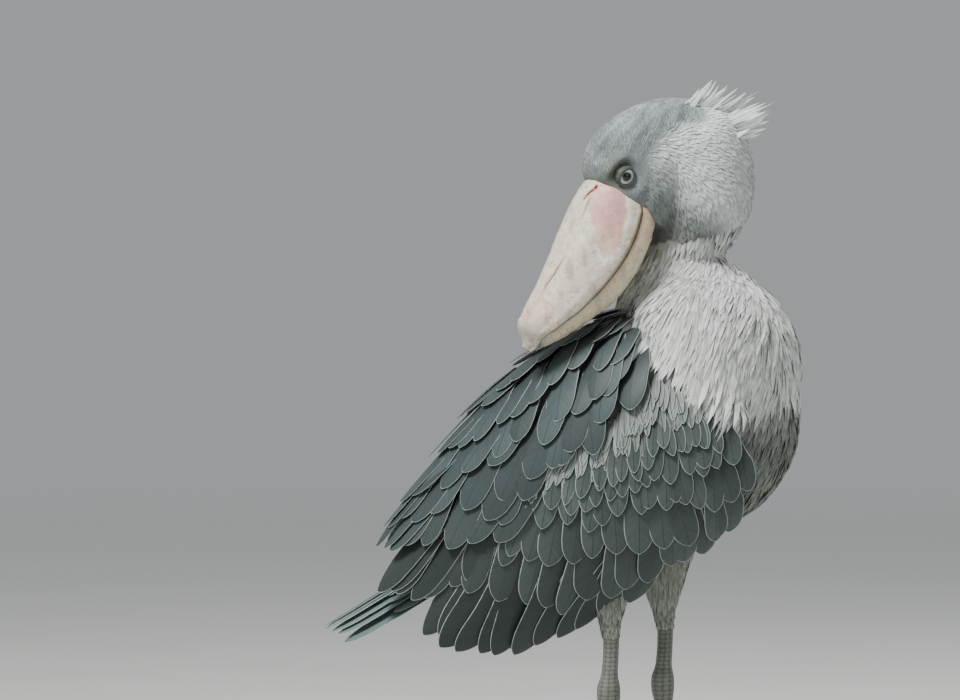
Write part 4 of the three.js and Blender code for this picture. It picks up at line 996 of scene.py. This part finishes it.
def tail():
    random = np.random.default_rng(9)
    feathers = []
    for count, share, height, width in ((11, 1.0, 0.0, 30), (9, 0.64, 4.5, 26), (8, 0.38, 8.0, 23)):
        for i in range(count):
            spot = i / (count - 1) * 2 - 1
            fold = abs(spot)
            reach = TAIL_LENGTH * share * (1 - 0.1 * fold) * random.uniform(0.96, 1.03) * VANE_ROWS
            above = (TAIL_ROOT["above"] + 0.13 * reach - 32 * fold ** 2 + 3 * fold
                     + height * (1 - VANE_ROWS) + 1.5 * i % 3)
            path = body_point(TAIL_ROOT["along"] - reach, above, spot * (10 + 20 * VANE_ROWS))
            out = np.broadcast_to(unit(BODY_ABOVE + 0.5 * spot * SIDEWAYS), path.shape)
            form = (path, out, width, 0.28, 0.1, 0.08)
            feathers.append({"form": form, "tint": REAR * random.uniform(2.0, 3.0)})
    return vane_mesh("feathers_tail", feathers, LEFT)


# Bill

MOUTH_LINE = 0.45
NOSTRIL = {"start": 4, "end": 22, "side": 24}


def nostril_reach(forward, side, hole, half_length, half_width):
    """How far points lie from the slit of one nostril: 0 within it, 1 about at its edge."""
    start, end = NOSTRIL["start"], NOSTRIL["end"]
    centre = hole * NOSTRIL["side"] * mix(1, 0.75, smooth(start, end, forward))
    beyond = np.maximum(0, np.abs(forward - (start + end) / 2) - half_length)
    return np.hypot((side - centre) / half_width, beyond / 3)


def bill_half(name, points, forward, edge, wide, lower):
    """Closes one half of the bill with a flat floor inside the mouth, and paints it."""
    floor = head_point(forward + 0 * np.ones((1, 5)), edge, wide * np.linspace(-0.86, 0.86, 5)[None])
    piece = new_mesh(name, *loft(np.concatenate([points, floor], 1)))
    paint(piece, bill_colours(points_of(piece), lower))
    return piece


def bill_noise(points, scale, seed):
    return wave_noise(points.reshape(-1, 3), scale, seed).reshape(points.shape[:-1])


def upper_bill():
    """The upper half: a keeled ridge, a groove on each side of it, and a hooked nail."""
    stations = 150
    forward = np.concatenate([np.linspace(-10, 190, stations - 26), np.linspace(190.7, 208, 26)])[:, None]
    angle = np.linspace(0, math.pi, 121)[None]
    capped = np.minimum(forward, 200)
    edge, ridge, wide = look(BILL, "forward", capped, "edge ridge upper")
    edge = edge + MOUTH_LINE
    hook = smooth(186, 209, forward)
    ridge = ridge - 12 * hook ** 2
    edge = edge - 2.5 * smooth(190, 206, forward)
    wide = wide * np.sqrt(np.maximum(0.015, 1 - smooth(186, 211, forward) ** 2)) * mix(1, 0.95, hook)
    cosine = np.cos(angle)
    side = wide * np.sign(cosine) * np.abs(cosine) ** 0.8
    height = (ridge - edge) * np.sin(angle) ** 0.75
    from_ridge = np.abs(side)
    run = smooth(-10, 30, forward) * (1 - 0.3 * smooth(150, 200, forward))
    keel = 2.6 * np.exp(-(from_ridge / 5.0) ** 2) * run
    groove_at = read(GROOVE, "forward", forward, "side")
    groove = -1.5 * np.exp(-((from_ridge - groove_at) / 1.7) ** 2) * smooth(15, 30, forward)
    swell = 1.4 * np.exp(-((np.sin(angle) - 0.12) / 0.1) ** 2) * smooth(-5, 30, forward)
    nail = 1.6 * smooth(178, 184, forward) * np.exp(-(from_ridge / 14) ** 2)
    points = head_point(forward + 0 * angle, edge + height + keel + groove + nail, side)
    lift = unit(points - head_point(forward, edge, 0 * forward))
    rough = 0.45 * bill_noise(points, 6, 41)
    points = points + lift * spread(swell + rough + 0.25 * bill_noise(points, 2.4, 42))
    for hole in (LEFT, RIGHT):
        beside = nostril_reach(forward, side, hole, 6.5, 1.5)
        points = points - lift * spread(2.6 * np.exp(-beside ** 2))
    return bill_half("bill_upper_shell", points, forward, edge + 1.6, wide, False)


def lower_bill():
    """The lower half: a shallow trough, rounded below."""
    forward = np.linspace(-10, 193, 110)[:, None]
    angle = np.linspace(0, math.pi, 81)[None]
    edge, low, wide = look(BILL, "forward", forward, "edge low lower")
    edge = edge - MOUTH_LINE
    cosine = np.cos(angle)
    side = wide * np.sign(cosine) * np.abs(cosine) ** 0.7
    points = head_point(forward + 0 * angle, edge + (low - edge) * np.sin(angle) ** 0.8, side)
    out = unit(points - head_point(forward, edge, 0 * forward))
    points = points + out * spread(0.4 * bill_noise(points, 6, 43) + 0.25 * bill_noise(points, 2.6, 44))
    return bill_half("bill_lower_shell", points, forward, edge - 1.2, wide, True)


CREAM = srgb("#ded2c1")
PINK = srgb("#d79f99")
PEACH = srgb("#e3bfa8")
OCHRE = srgb("#bda273")
STRAW = srgb("#dccdb0")
MOTTLE = srgb("#8f8a80")
NAIL_GREY = srgb("#aaa599")
GROOVE_BROWN = srgb("#7d5c4a")
RED = srgb("#7c1c12")
MOUTH_SHADE = srgb("#4f3a2a")


def bill_colours(points, lower):
    """Creamy horn with grey mottling, a pink bare patch on each cheek of the bill, ochre by the gape."""
    forward, up, side = to_head(points)
    edge, ridge = look(BILL, "forward", forward, "edge ridge")
    share = np.clip((up - edge) / (ridge - edge), 0, 1)
    cloud = wave_noise(points, 8, 51)
    fine = wave_noise(points, 3.0, 52)
    colours = np.broadcast_to(STRAW if lower else CREAM, points.shape)
    speckle = smooth(0.3, 1.0, 0.3 * cloud + 0.8 * fine) * smooth(10, 60, forward)
    if lower:
        colours = blend(colours, OCHRE, 0.3 * smooth(-0.4, 0.8, cloud) * smooth(-14, -2, up - edge))
        colours = blend(colours, PINK, 0.25 * smooth(60, 10, forward))
    else:
        low, high = look(PATCH, "forward", forward, "low high")
        inside = np.minimum(share - low, high - share) + 0.02 * fine
        bare = smooth(-0.03, 0.06, inside) * smooth(75, 69, forward)
        rim = smooth(-0.11, -0.05, inside) * (1 - bare) * (share < 0.6) * smooth(84, 76, forward)
        colours = blend(colours, srgb("#f6f0e6"), 0.95 * rim)
        flesh = mix(PINK, PEACH, spread(smooth(28, 62, forward + 22 * (0.55 - share) + 6 * cloud)))
        colours = blend(colours, flesh, bare * mix(0.9, 0.7, smooth(40, 75, forward)))
        speckle = speckle * (1 - bare)
        colours = blend(colours, PINK, 0.3 * smooth(110, 170, forward) * smooth(0.2, -0.6, cloud))
        line = np.abs(np.abs(side) - read(GROOVE, "forward", forward, "side")) - 0.5 * fine
        broken = smooth(-0.7, 0.1, cloud) * smooth(14, 24, forward) * smooth(186, 176, forward) * (share > 0.4)
        colours = blend(colours, GROOVE_BROWN, 0.9 * smooth(2.2, 0.8, line) * broken)
        for hole in (LEFT, RIGHT):
            beside = nostril_reach(forward, side, hole, 9, 2.6)
            colours = blend(colours, RED, smooth(1.15, 0.6, beside) * (share > 0.4))
    colours = blend(colours, MOTTLE, 0.45 * speckle)
    colours = blend(colours, NAIL_GREY, 0.75 * smooth(178, 190, forward))
    near_edge = np.abs(up - edge)
    colours = blend(colours, OCHRE, 0.6 * smooth(7, 2.5, near_edge) * smooth(150, 30, forward))
    return blend(colours, MOUTH_SHADE, 0.85 * smooth(1.6, 0.3, near_edge))


# Eyes and lids

def eye_frame(side):
    """The eye's centre and its own forward, up and outward directions."""
    centre = eye_centre(side)
    out = unit(side * HEAD_LEFT + 0.16 * BILL_FORWARD)
    ahead = unit(BILL_FORWARD - (BILL_FORWARD @ out) * out)
    up = unit(HEAD_UP - (HEAD_UP @ out) * out)
    return centre, ahead, up, out


def ball_points(centre, axes, polar, turn, radius):
    ahead, up, out = axes
    return (centre + spread(radius * np.sin(polar) * np.cos(turn)) * ahead
            + spread(radius * np.sin(polar) * np.sin(turn)) * up + spread(radius * np.cos(polar)) * out)


IRIS_RADIUS = 9.8
PUPIL_RADIUS = 5.5


def eye(side, name):
    centre, ahead, up, out = eye_frame(side)
    polar = np.linspace(0.02, math.pi - 0.02, 60)[:, None]
    turn = circle(64)[None]
    bulge = EYE_RADIUS - 0.15 + 0.5 * np.exp(-(polar / 0.6) ** 2)
    piece = new_mesh(name, *loft(ball_points(centre, (ahead, up, out), polar, turn, bulge + 0 * turn)))
    points = points_of(piece)
    across, high = (points - centre) @ ahead, (points - centre) @ up
    reach = np.hypot(across, high)
    around = np.arctan2(high, across)
    streak = 0.5 + 0.25 * np.sin(around * 37) + 0.25 * np.sin(around * 61 + 2)
    iris = mix(srgb("#869ba4"), srgb("#bccacd"), spread(smooth(PUPIL_RADIUS, IRIS_RADIUS, reach)))
    iris = iris * spread(mix(0.82, 1.08, streak))
    colours = mix(iris, srgb("#2e3230"), spread(smooth(IRIS_RADIUS - 1.0, IRIS_RADIUS, reach)))
    colours = mix(srgb("#050607"), colours, spread(smooth(PUPIL_RADIUS - 0.4, PUPIL_RADIUS + 0.4, reach)))
    paint(piece, colours)
    return piece


def lids(side, name):
    """A wrinkled ring of skin: an upper lid that covers the top of the iris and a thin lower one."""
    centre, ahead, up, out = eye_frame(side)
    turn = circle(96)[:, None]
    round_lid = circle(20)[None]
    top = smooth(-0.3, 0.9, np.sin(turn))
    opening = mix(0.84, 0.6, top) + 0.05 * np.cos(2 * turn)
    thick = mix(1.1, 1.7, top)
    wrinkled = thick + 0.22 * np.sin(3 * round_lid) * np.sin(turn * 9)
    reach = mix(1.0, mix(2.8, 1.9, top), np.cos(round_lid) > 0)
    polar = opening + 0.13 + wrinkled * 1.35 / EYE_RADIUS * np.cos(round_lid) * reach
    radius = EYE_RADIUS + 0.35 + wrinkled * 0.62 * np.sin(round_lid) + 0.3
    points = ball_points(centre, (ahead, up, out), polar, turn + 0 * round_lid, radius)
    ring, size = points.shape[:2]
    grid = np.arange(ring * size).reshape(ring, size)
    after = np.roll(grid, -1, 0)
    quads = np.stack([grid, np.roll(grid, -1, 1), np.roll(after, -1, 1), after], -1).reshape(-1, 4)
    if side == LEFT:
        quads = quads[:, ::-1]
    piece = new_mesh(name, points, quads)
    places = points_of(piece)
    rim = np.broadcast_to(np.cos(round_lid) < -0.35, (ring, size)).ravel()
    gold = smooth(0.75, 0.98, np.broadcast_to(np.cos(turn), (ring, size)).ravel())
    under = smooth(0.2, -0.6, np.broadcast_to(np.sin(turn), (ring, size)).ravel())
    colours = mix(srgb("#4b4f47"), srgb("#8d7a72"), spread(0.7 * under))
    colours = blend(colours, srgb("#3a3b34"), rim * 0.7)
    colours = blend(colours, srgb("#7a6a48"), 0.4 * gold * rim)
    paint(piece, colours * spread(1 + 0.15 * wave_noise(places, 1.6, 61)))
    return piece


# Legs, toes and claws

TOES = (
    {"name": "inner", "heading": 28, "length": 128, "radius": 7.6},
    {"name": "middle", "heading": 2, "length": 158, "radius": 8.2},
    {"name": "outer", "heading": -27, "length": 140, "radius": 7.6},
    {"name": "hind", "heading": 186, "length": 78, "radius": 6.6},
)
CLAW_LENGTH = 22
SHIN = table("z radius x", [
    [FOOT_TOP - 4, 11, 0], [36, 9.6, 0], [60, 8.7, 0], [200, 8.7, -1], [238, 10.5, -2], [254, 13.5, -3],
    [270, 13.5, -3], [284, 10, -2], [306, 9.2, -0.5], [330, 9.4, 0]])


def shin(side, name):
    """The bare leg: small rounded scales in rows, with a swollen ankle."""
    z = np.linspace(FOOT_TOP - 4, FEATHER_LINE + 3, 340)[:, None]
    turn = circle(56)[None]
    foot = foot_place(side)
    radius, bend = look(SHIN, "z", z, "radius x")
    row = z / 5.2 + 0.12 * np.sin(z / 9) + 0.06 * np.sin(3 * turn)
    scales = np.abs(np.sin(math.pi * row)) ** 0.5
    shift = np.floor(row) % 2 * math.pi / 9
    cells = np.abs(np.sin(4.5 * turn + shift)) ** 0.5
    radius = radius - 0.2 + 0.55 * scales * cells
    x = foot[0] + bend + radius * np.cos(turn)
    y = foot[1] + radius * 0.92 * np.sin(turn)
    piece = new_mesh(name, *loft(np.stack([x, y, z + 0 * x], -1)))
    paint_leg(piece, with_ends(scales * cells))
    return piece


def with_ends(values):
    """The values of a loft's rings, and one for the middle of each end."""
    return np.concatenate([values.ravel(), [0.5, 0.5]])


def toe_axes(side, spec):
    heading = side * spec["heading"] * DEGREE
    ahead = np.array([math.cos(heading), math.sin(heading), 0])
    return ahead, np.array([-math.sin(heading), math.cos(heading), 0])


LEG_GREY = srgb("#6f716b")
LEG_DARK = srgb("#4c4e4a")


def paint_leg(piece, raised):
    points = points_of(piece)
    colours = mix(LEG_DARK, LEG_GREY, spread(smooth(0.15, 0.75, raised)))
    paint(piece, colours * spread(1 + 0.14 * wave_noise(points, 12, 71)))


def toe_form(side, spec):
    """One toe: jointed, flat below, with broad scutes over its top."""
    forward, across = toe_axes(side, spec)
    at = np.linspace(0, 1, 150)[:, None]
    turn = circle(28)[None]
    knuckle = 1 + 0.12 * np.cos(8 * math.pi * at - 0.4)
    end = np.sqrt(np.maximum(0.05, 1 - smooth(0.93, 1.0, at) ** 2))
    thick = spec["radius"] * mix(1, 0.68, at) * knuckle * end
    rise = mix(6, 0, np.clip(at / 0.3, 0, 1))
    scute = np.abs(np.sin(math.pi * at * spec["length"] / 5.0)) ** 0.4
    top = smooth(0.1, 0.6, np.sin(turn))
    grown = thick + 0.5 * (scute - 0.6) * top
    place = foot_place(side) + spread(spec["length"] * at) * forward + spread(grown * np.cos(turn)) * across
    place[..., 2] = np.maximum(0.15, thick * 0.88 + rise + grown * np.sin(turn))
    return loft(place), with_ends(mix(0.55, scute, top))


def foot(side, name):
    """The ball of the foot and its four toes."""
    z = np.linspace(0.2, FOOT_TOP + 2, 40)[:, None]
    turn = circle(48)[None]
    place = foot_place(side)
    wide = mix(13, 16, smooth(0, 6, z)) - 6 * smooth(8, FOOT_TOP, z)
    rings = np.abs(np.sin(math.pi * z / 4.5)) ** 0.5
    scales = rings * np.abs(np.sin(6 * turn + np.floor(z / 4.5) * 0.26)) ** 0.5
    radius = wide + 0.5 * scales
    x, y = place[0] + radius * np.cos(turn), place[1] + radius * 0.9 * np.sin(turn)
    forms, raised = [loft(np.stack([x, y, z + 0 * radius], -1))], [with_ends(scales)]
    for spec in TOES:
        form, values = toe_form(side, spec)
        forms.append(form)
        raised.append(values)
    piece = new_mesh(name, *gather(forms))
    paint_leg(piece, np.concatenate(raised))
    return piece


def claws(side, name):
    forms = []
    for spec in TOES:
        forward, across = toe_axes(side, spec)
        at = np.linspace(0, 1, 26)[:, None]
        turn = circle(20)[None]
        thick = spec["radius"] * 0.52 * (1 - at) ** 0.7 + 0.15
        height = 0.7 + spec["radius"] * 0.62 * (1 - at ** 2) + thick * 0.4
        place = (foot_place(side) + spread(spec["length"] - 2 + (CLAW_LENGTH + 2) * at) * forward
                 + spread(thick * np.cos(turn)) * across)
        place[..., 2] = height + thick * 0.95 * np.sin(turn)
        forms.append(loft(place))
    piece = new_mesh(name, *gather(forms))
    points = points_of(piece)
    paint(piece, srgb("#3b3731") * spread(1 + 0.2 * wave_noise(points, 3, 81)))
    return piece


# Materials

class Shader:
    """A material's node tree, with short ways to add and join nodes."""

    def __init__(self, name, roughness, **inputs):
        self.material = bpy.data.materials.new(name)
        self.material.use_nodes = True
        self.nodes = self.material.node_tree.nodes
        self.links = self.material.node_tree.links
        self.surface = self.nodes["Principled BSDF"]
        self.surface.inputs["Roughness"].default_value = roughness
        for key, value in inputs.items():
            self.surface.inputs[key.replace("_", " ")].default_value = value

    def add(self, kind, **settings):
        """Adds a node. Settings in capitals are its inputs, the rest its own properties."""
        node = self.nodes.new(kind)
        for key, value in settings.items():
            if key[0].isupper():
                node.inputs[key.replace("_", " ")].default_value = value
            else:
                setattr(node, key, value)
        return node

    def join(self, start, end):
        self.links.new(start, end)

    def feed(self, value, socket):
        """Gives a socket a value, or joins another node's output to it."""
        if hasattr(value, "is_linked"):
            self.join(value, socket)
        else:
            socket.default_value = value

    def calculate(self, operation, *values):
        node = self.add("ShaderNodeMath", operation=operation)
        for value, socket in zip(values, node.inputs):
            self.feed(value, socket)
        return node.outputs[0]

    def tint(self):
        return self.add("ShaderNodeAttribute", attribute_name="Tint").outputs["Color"]

    def noise(self, scale, detail=4.0, rough=0.6, vector=None):
        node = self.add("ShaderNodeTexNoise", Scale=scale, Detail=detail, Roughness=rough)
        self.join(vector or self.place(), node.inputs["Vector"])
        return node.outputs["Fac"]

    def place(self):
        return self.add("ShaderNodeTexCoord").outputs["Object"]

    def ranged(self, value, low, high, out_low, out_high):
        node = self.add("ShaderNodeMapRange", From_Min=low, From_Max=high, To_Min=out_low, To_Max=out_high)
        self.join(value, node.inputs["Value"])
        return node.outputs["Result"]

    def scaled(self, colour, factor):
        """A colour made lighter or darker by a value."""
        node = self.add("ShaderNodeVectorMath", operation="SCALE")
        self.join(colour, node.inputs[0])
        self.join(factor, node.inputs["Scale"])
        return node.outputs["Vector"]

    def clouded(self, colour, noise, dark, light):
        """A colour made darker and lighter by a noise."""
        return self.scaled(colour, self.ranged(noise, 0.3, 0.7, dark, light))

    def mixed(self, share, first, second):
        node = self.add("ShaderNodeMix", data_type="RGBA")
        for value, place in ((share, 0), (first, 6), (second, 7)):
            self.feed(value, node.inputs[place])
        return node.outputs[2]

    def finish(self, colour, height=None, strength=0.3, distance=0.0006):
        self.join(colour, self.surface.inputs["Base Color"])
        if height:
            bump = self.add("ShaderNodeBump", Strength=strength, Distance=distance)
            self.join(height, bump.inputs["Height"])
            self.join(bump.outputs["Normal"], self.surface.inputs["Normal"])
        return self.material


def opaque(colour):
    return (*[float(value) for value in colour], 1.0)


def grained_material(name, roughness, layers, bump=(), **inputs):
    """A material clouded by layers of noise: scale, detail, darkest and lightest. The first is its relief."""
    shader = Shader(name, roughness, **inputs)
    noises = [shader.noise(scale, detail) for scale, detail, _, _ in layers]
    colour = shader.tint()
    for noise, (_, _, dark, light) in zip(noises, layers):
        colour = shader.clouded(colour, noise, dark, light)
    return shader.finish(colour, noises[0], *bump) if bump else shader.finish(colour)


def vane_material():
    """Fine barbs slanting off the shaft, a darker shaft and a thin pale rim."""
    shader = Shader("vanes", 0.52, Sheen_Weight=0.04, Sheen_Roughness=0.5, Specular_IOR_Level=0.3)
    flat = shader.add("ShaderNodeUVMap", uv_map="Vane").outputs["UV"]
    parts = shader.add("ShaderNodeSeparateXYZ")
    shader.join(flat, parts.inputs[0])
    from_shaft = shader.calculate("ABSOLUTE", parts.outputs["X"])
    slant = shader.calculate("MULTIPLY_ADD", from_shaft, -1.1, parts.outputs["Y"])
    spot = shader.add("ShaderNodeCombineXYZ")
    shader.join(slant, spot.inputs["X"])
    stretch = shader.ranged(parts.outputs["X"], -30, 30, -1.2, 1.2)
    shader.join(stretch, spot.inputs["Y"])
    barbs = shader.noise(1.6, 3.0, 0.6, spot.outputs[0])
    broad = shader.noise(0.16, 2.0, 0.5, spot.outputs[0])
    colour = shader.clouded(shader.tint(), barbs, 0.86, 1.14)
    colour = shader.clouded(colour, broad, 0.88, 1.12)
    shaft = shader.ranged(from_shaft, 0.25, 0.7, 1.0, 0.0)
    colour = shader.mixed(shaft, colour, opaque(srgb("#2b3236")))
    edge = shader.add("ShaderNodeAttribute", attribute_name="Rim").outputs["Fac"]
    ragged = shader.noise(0.8, 2.0, 0.5, flat)
    wander = shader.calculate("MULTIPLY_ADD", ragged, 0.8, edge)
    rim = shader.ranged(wander, 0.8, 1.5, 0.7, 0.0)
    colour = shader.mixed(rim, colour, opaque(srgb("#b9c1bf")))
    return shader.finish(colour, barbs, 0.35, 0.0002)


def bill_material():
    """Horn with soft blotches, sparse fine cracks and small grey specks."""
    shader = Shader("horn", 0.46, Specular_IOR_Level=0.45, Coat_Weight=0.08, Coat_Roughness=0.4)
    blotch = shader.noise(60, 8.0, 0.7)
    grain = shader.noise(500, 4.0, 0.6)
    cracks = shader.add("ShaderNodeTexVoronoi", feature="DISTANCE_TO_EDGE", Scale=75.0)
    warp = shader.add("ShaderNodeVectorMath", operation="MULTIPLY_ADD")
    warp.inputs[1].default_value = (0.02, 0.02, 0.02)
    wobble = shader.add("ShaderNodeTexNoise", Scale=45.0, Detail=3.0)
    shader.join(shader.place(), wobble.inputs["Vector"])
    shader.join(wobble.outputs["Color"], warp.inputs[0])
    shader.join(shader.place(), warp.inputs[2])
    shader.join(warp.outputs[0], cracks.inputs["Vector"])
    line = shader.ranged(cracks.outputs["Distance"], 0.0, 0.04, 0.6, 0.0)
    sparse = shader.ranged(shader.noise(22, 2.0), 0.5, 0.62, 0.0, 1.0)
    colour = shader.clouded(shader.tint(), blotch, 0.8, 1.14)
    colour = shader.clouded(colour, grain, 0.9, 1.08)
    colour = shader.mixed(shader.calculate("MULTIPLY", line, sparse), colour, opaque(srgb("#6b5f52")))
    speckle = shader.ranged(shader.noise(240, 6.0, 0.65), 0.5, 0.64, 0.0, 0.6)
    colour = shader.mixed(speckle, colour, opaque(srgb("#97907f")))
    return shader.finish(colour, blotch, 0.25, 0.0012)


# Camera, floor and lights

CAMERA_TURN = 10 * DEGREE
CAMERA_RISE = 3 * DEGREE
CAMERA_DISTANCE = 8.0
VIEW_WIDTH = 1.152
VIEW_MIDDLE = np.array([-180.8, -31.9, 670.0])


def place_in_scene(name, data):
    piece = bpy.data.objects.new(name, data)
    bpy.context.scene.collection.objects.link(piece)
    return piece


def camera():
    data = bpy.data.cameras.new("camera")
    data.sensor_width = 36
    data.lens = data.sensor_width * CAMERA_DISTANCE / VIEW_WIDTH
    data.clip_end = 60
    eye_object = place_in_scene("camera", data)
    toward = Vector((math.sin(CAMERA_TURN) * math.cos(CAMERA_RISE),
                     -math.cos(CAMERA_TURN) * math.cos(CAMERA_RISE), math.sin(CAMERA_RISE)))
    middle = Vector(VIEW_MIDDLE * MM + SHIFT)
    eye_object.location = middle + toward * CAMERA_DISTANCE
    eye_object.rotation_euler = toward.to_track_quat("Z", "Y").to_euler()
    bpy.context.scene.camera = eye_object


def area_light(name, place, aim, size, power, colour):
    data = bpy.data.lights.new(name, "AREA")
    data.shape = "DISK"
    data.size = size
    data.energy = power
    data.color = colour
    lamp = place_in_scene(name, data)
    lamp.location = place
    lamp.rotation_euler = (Vector(place) - Vector(aim)).to_track_quat("Z", "Y").to_euler()


BACKDROP = (0.80, 0.84, 0.85, 1)
BACKDROP_LIGHT = 0.44
FLOOR_SIZE = 28


def studio():
    bpy.ops.mesh.primitive_plane_add(size=FLOOR_SIZE, location=(0, 0, 0))
    floor = bpy.context.object
    floor.name = "floor"
    shader = Shader("pale_floor", 0.9)
    tone = shader.ranged(shader.noise(3.0, 2.0), 0.3, 0.7, 0.98, 1.02)
    pale = shader.add("ShaderNodeRGB")
    pale.outputs[0].default_value = opaque(srgb("#c9cbc6"))
    floor.data.materials.append(shader.finish(shader.scaled(pale.outputs[0], tone)))
    away = shader.add("ShaderNodeVectorMath", operation="LENGTH")
    shader.join(shader.place(), away.inputs[0])
    fade = shader.ranged(away.outputs["Value"], 1.6, 7.0, 0.0, 1.0)
    glow = shader.add("ShaderNodeEmission", Strength=BACKDROP_LIGHT)
    glow.inputs["Color"].default_value = BACKDROP
    both = shader.add("ShaderNodeMixShader")
    for output, socket in zip((fade, shader.surface.outputs[0], glow.outputs[0]), both.inputs):
        shader.join(output, socket)
    shader.join(both.outputs[0], shader.nodes["Material Output"].inputs["Surface"])
    world = bpy.data.worlds.new("world")
    world.use_nodes = True
    world.node_tree.nodes["Background"].inputs[0].default_value = BACKDROP
    world.node_tree.nodes["Background"].inputs[1].default_value = BACKDROP_LIGHT
    bpy.context.scene.world = world
    aim = (0, 0, 0.6)
    area_light("key", (-1.3, -2.0, 3.9), aim, 1.4, 285, (1, 0.99, 0.97))
    area_light("fill", (2.6, -2.6, 1.5), aim, 2.4, 16, (0.97, 0.99, 1))
    area_light("back", (0.9, 2.4, 3.2), aim, 1.8, 90, (1, 1, 1))


# Assembly

def dress(piece, material, slot, *nodes):
    piece.data.materials.append(material)
    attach(piece, "root")
    if nodes:
        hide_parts(*nodes)


camera()
studio()
skin = build_skin()
paint(skin, markings_with_painted_shade_and_light(points_of(skin)))
ground = Ground(skin)
soft = grained_material(
    "soft_feathers", 0.8, [(2600, 2.0, 0.84, 1.14), (140, 2.0, 0.93, 1.07)], (0.25, 0.0002),
    Sheen_Weight=0.15, Sheen_Roughness=0.6, Specular_IOR_Level=0.25)
vanes = vane_material()
horn = bill_material()
glass = grained_material(
    "eye", 0.06, [(900, 3.0, 0.9, 1.1)], Specular_IOR_Level=0.4, Coat_Weight=0.25, Coat_Roughness=0.02)
scaled_skin, lid_skin = (
    grained_material(name, 0.62, [(scale, 5.0, 0.8, 1.15), (70, 3.0, 0.88, 1.1)], (0.4, 0.0003),
                     Specular_IOR_Level=0.35)
    for name, scale in (("scaled_skin", 700), ("lid_skin", 1400)))
claw_horn = grained_material("claw", 0.35, [(600, 4.0, 0.75, 1.2)], (0.2, 0.0002), Specular_IOR_Level=0.5)
# The skin under the coat is darkened by a fine noise to 0.62 to 0.86 of its colours: painted shade where it
# shows between the feathers.
bare_skin = grained_material("skin", 0.85, [(420, 4.0, 0.62, 0.86), (90, 3.0, 0.85, 1.1)], (0.5, 0.0006))
dress(skin, bare_skin, "body_plumage",
      "torso", "neck_lower", "neck_upper", "head", "thigh_left", "thigh_right")
dress(head_coat(ground), soft, "head_plumage")
dress(ruff_coat(ground), soft, "neck_plumage")
dress(body_coat(ground), soft, "body_plumage")
dress(crest(), soft, "head_plumage")
dress(wing(LEFT), vanes, "flight_feathers", "wing_left")
dress(wing(RIGHT), vanes, "flight_feathers", "wing_right")
dress(tail(), vanes, "flight_feathers", "tail")
dress(upper_bill(), horn, "bill", "bill_upper")
dress(lower_bill(), horn, "bill", "bill_lower")
for side, word in ((LEFT, "left"), (RIGHT, "right")):
    dress(eye(side, f"eyeball_{word}"), glass, "eye", f"eye_{word}")
    dress(lids(side, f"eyelids_{word}"), lid_skin, "head_plumage")
    dress(shin(side, f"bare_shin_{word}"), scaled_skin, "leg_skin", f"shin_{word}")
    toes = [f"toe_{word}_{spec['name']}" for spec in TOES]
    dress(foot(side, f"scaled_foot_{word}"), scaled_skin, "leg_skin", f"foot_{word}", *toes)
    tips = [f"claw_{word}_{spec['name']}" for spec in TOES]
    dress(claws(side, f"claws_{word}"), claw_horn, "claw", *tips)
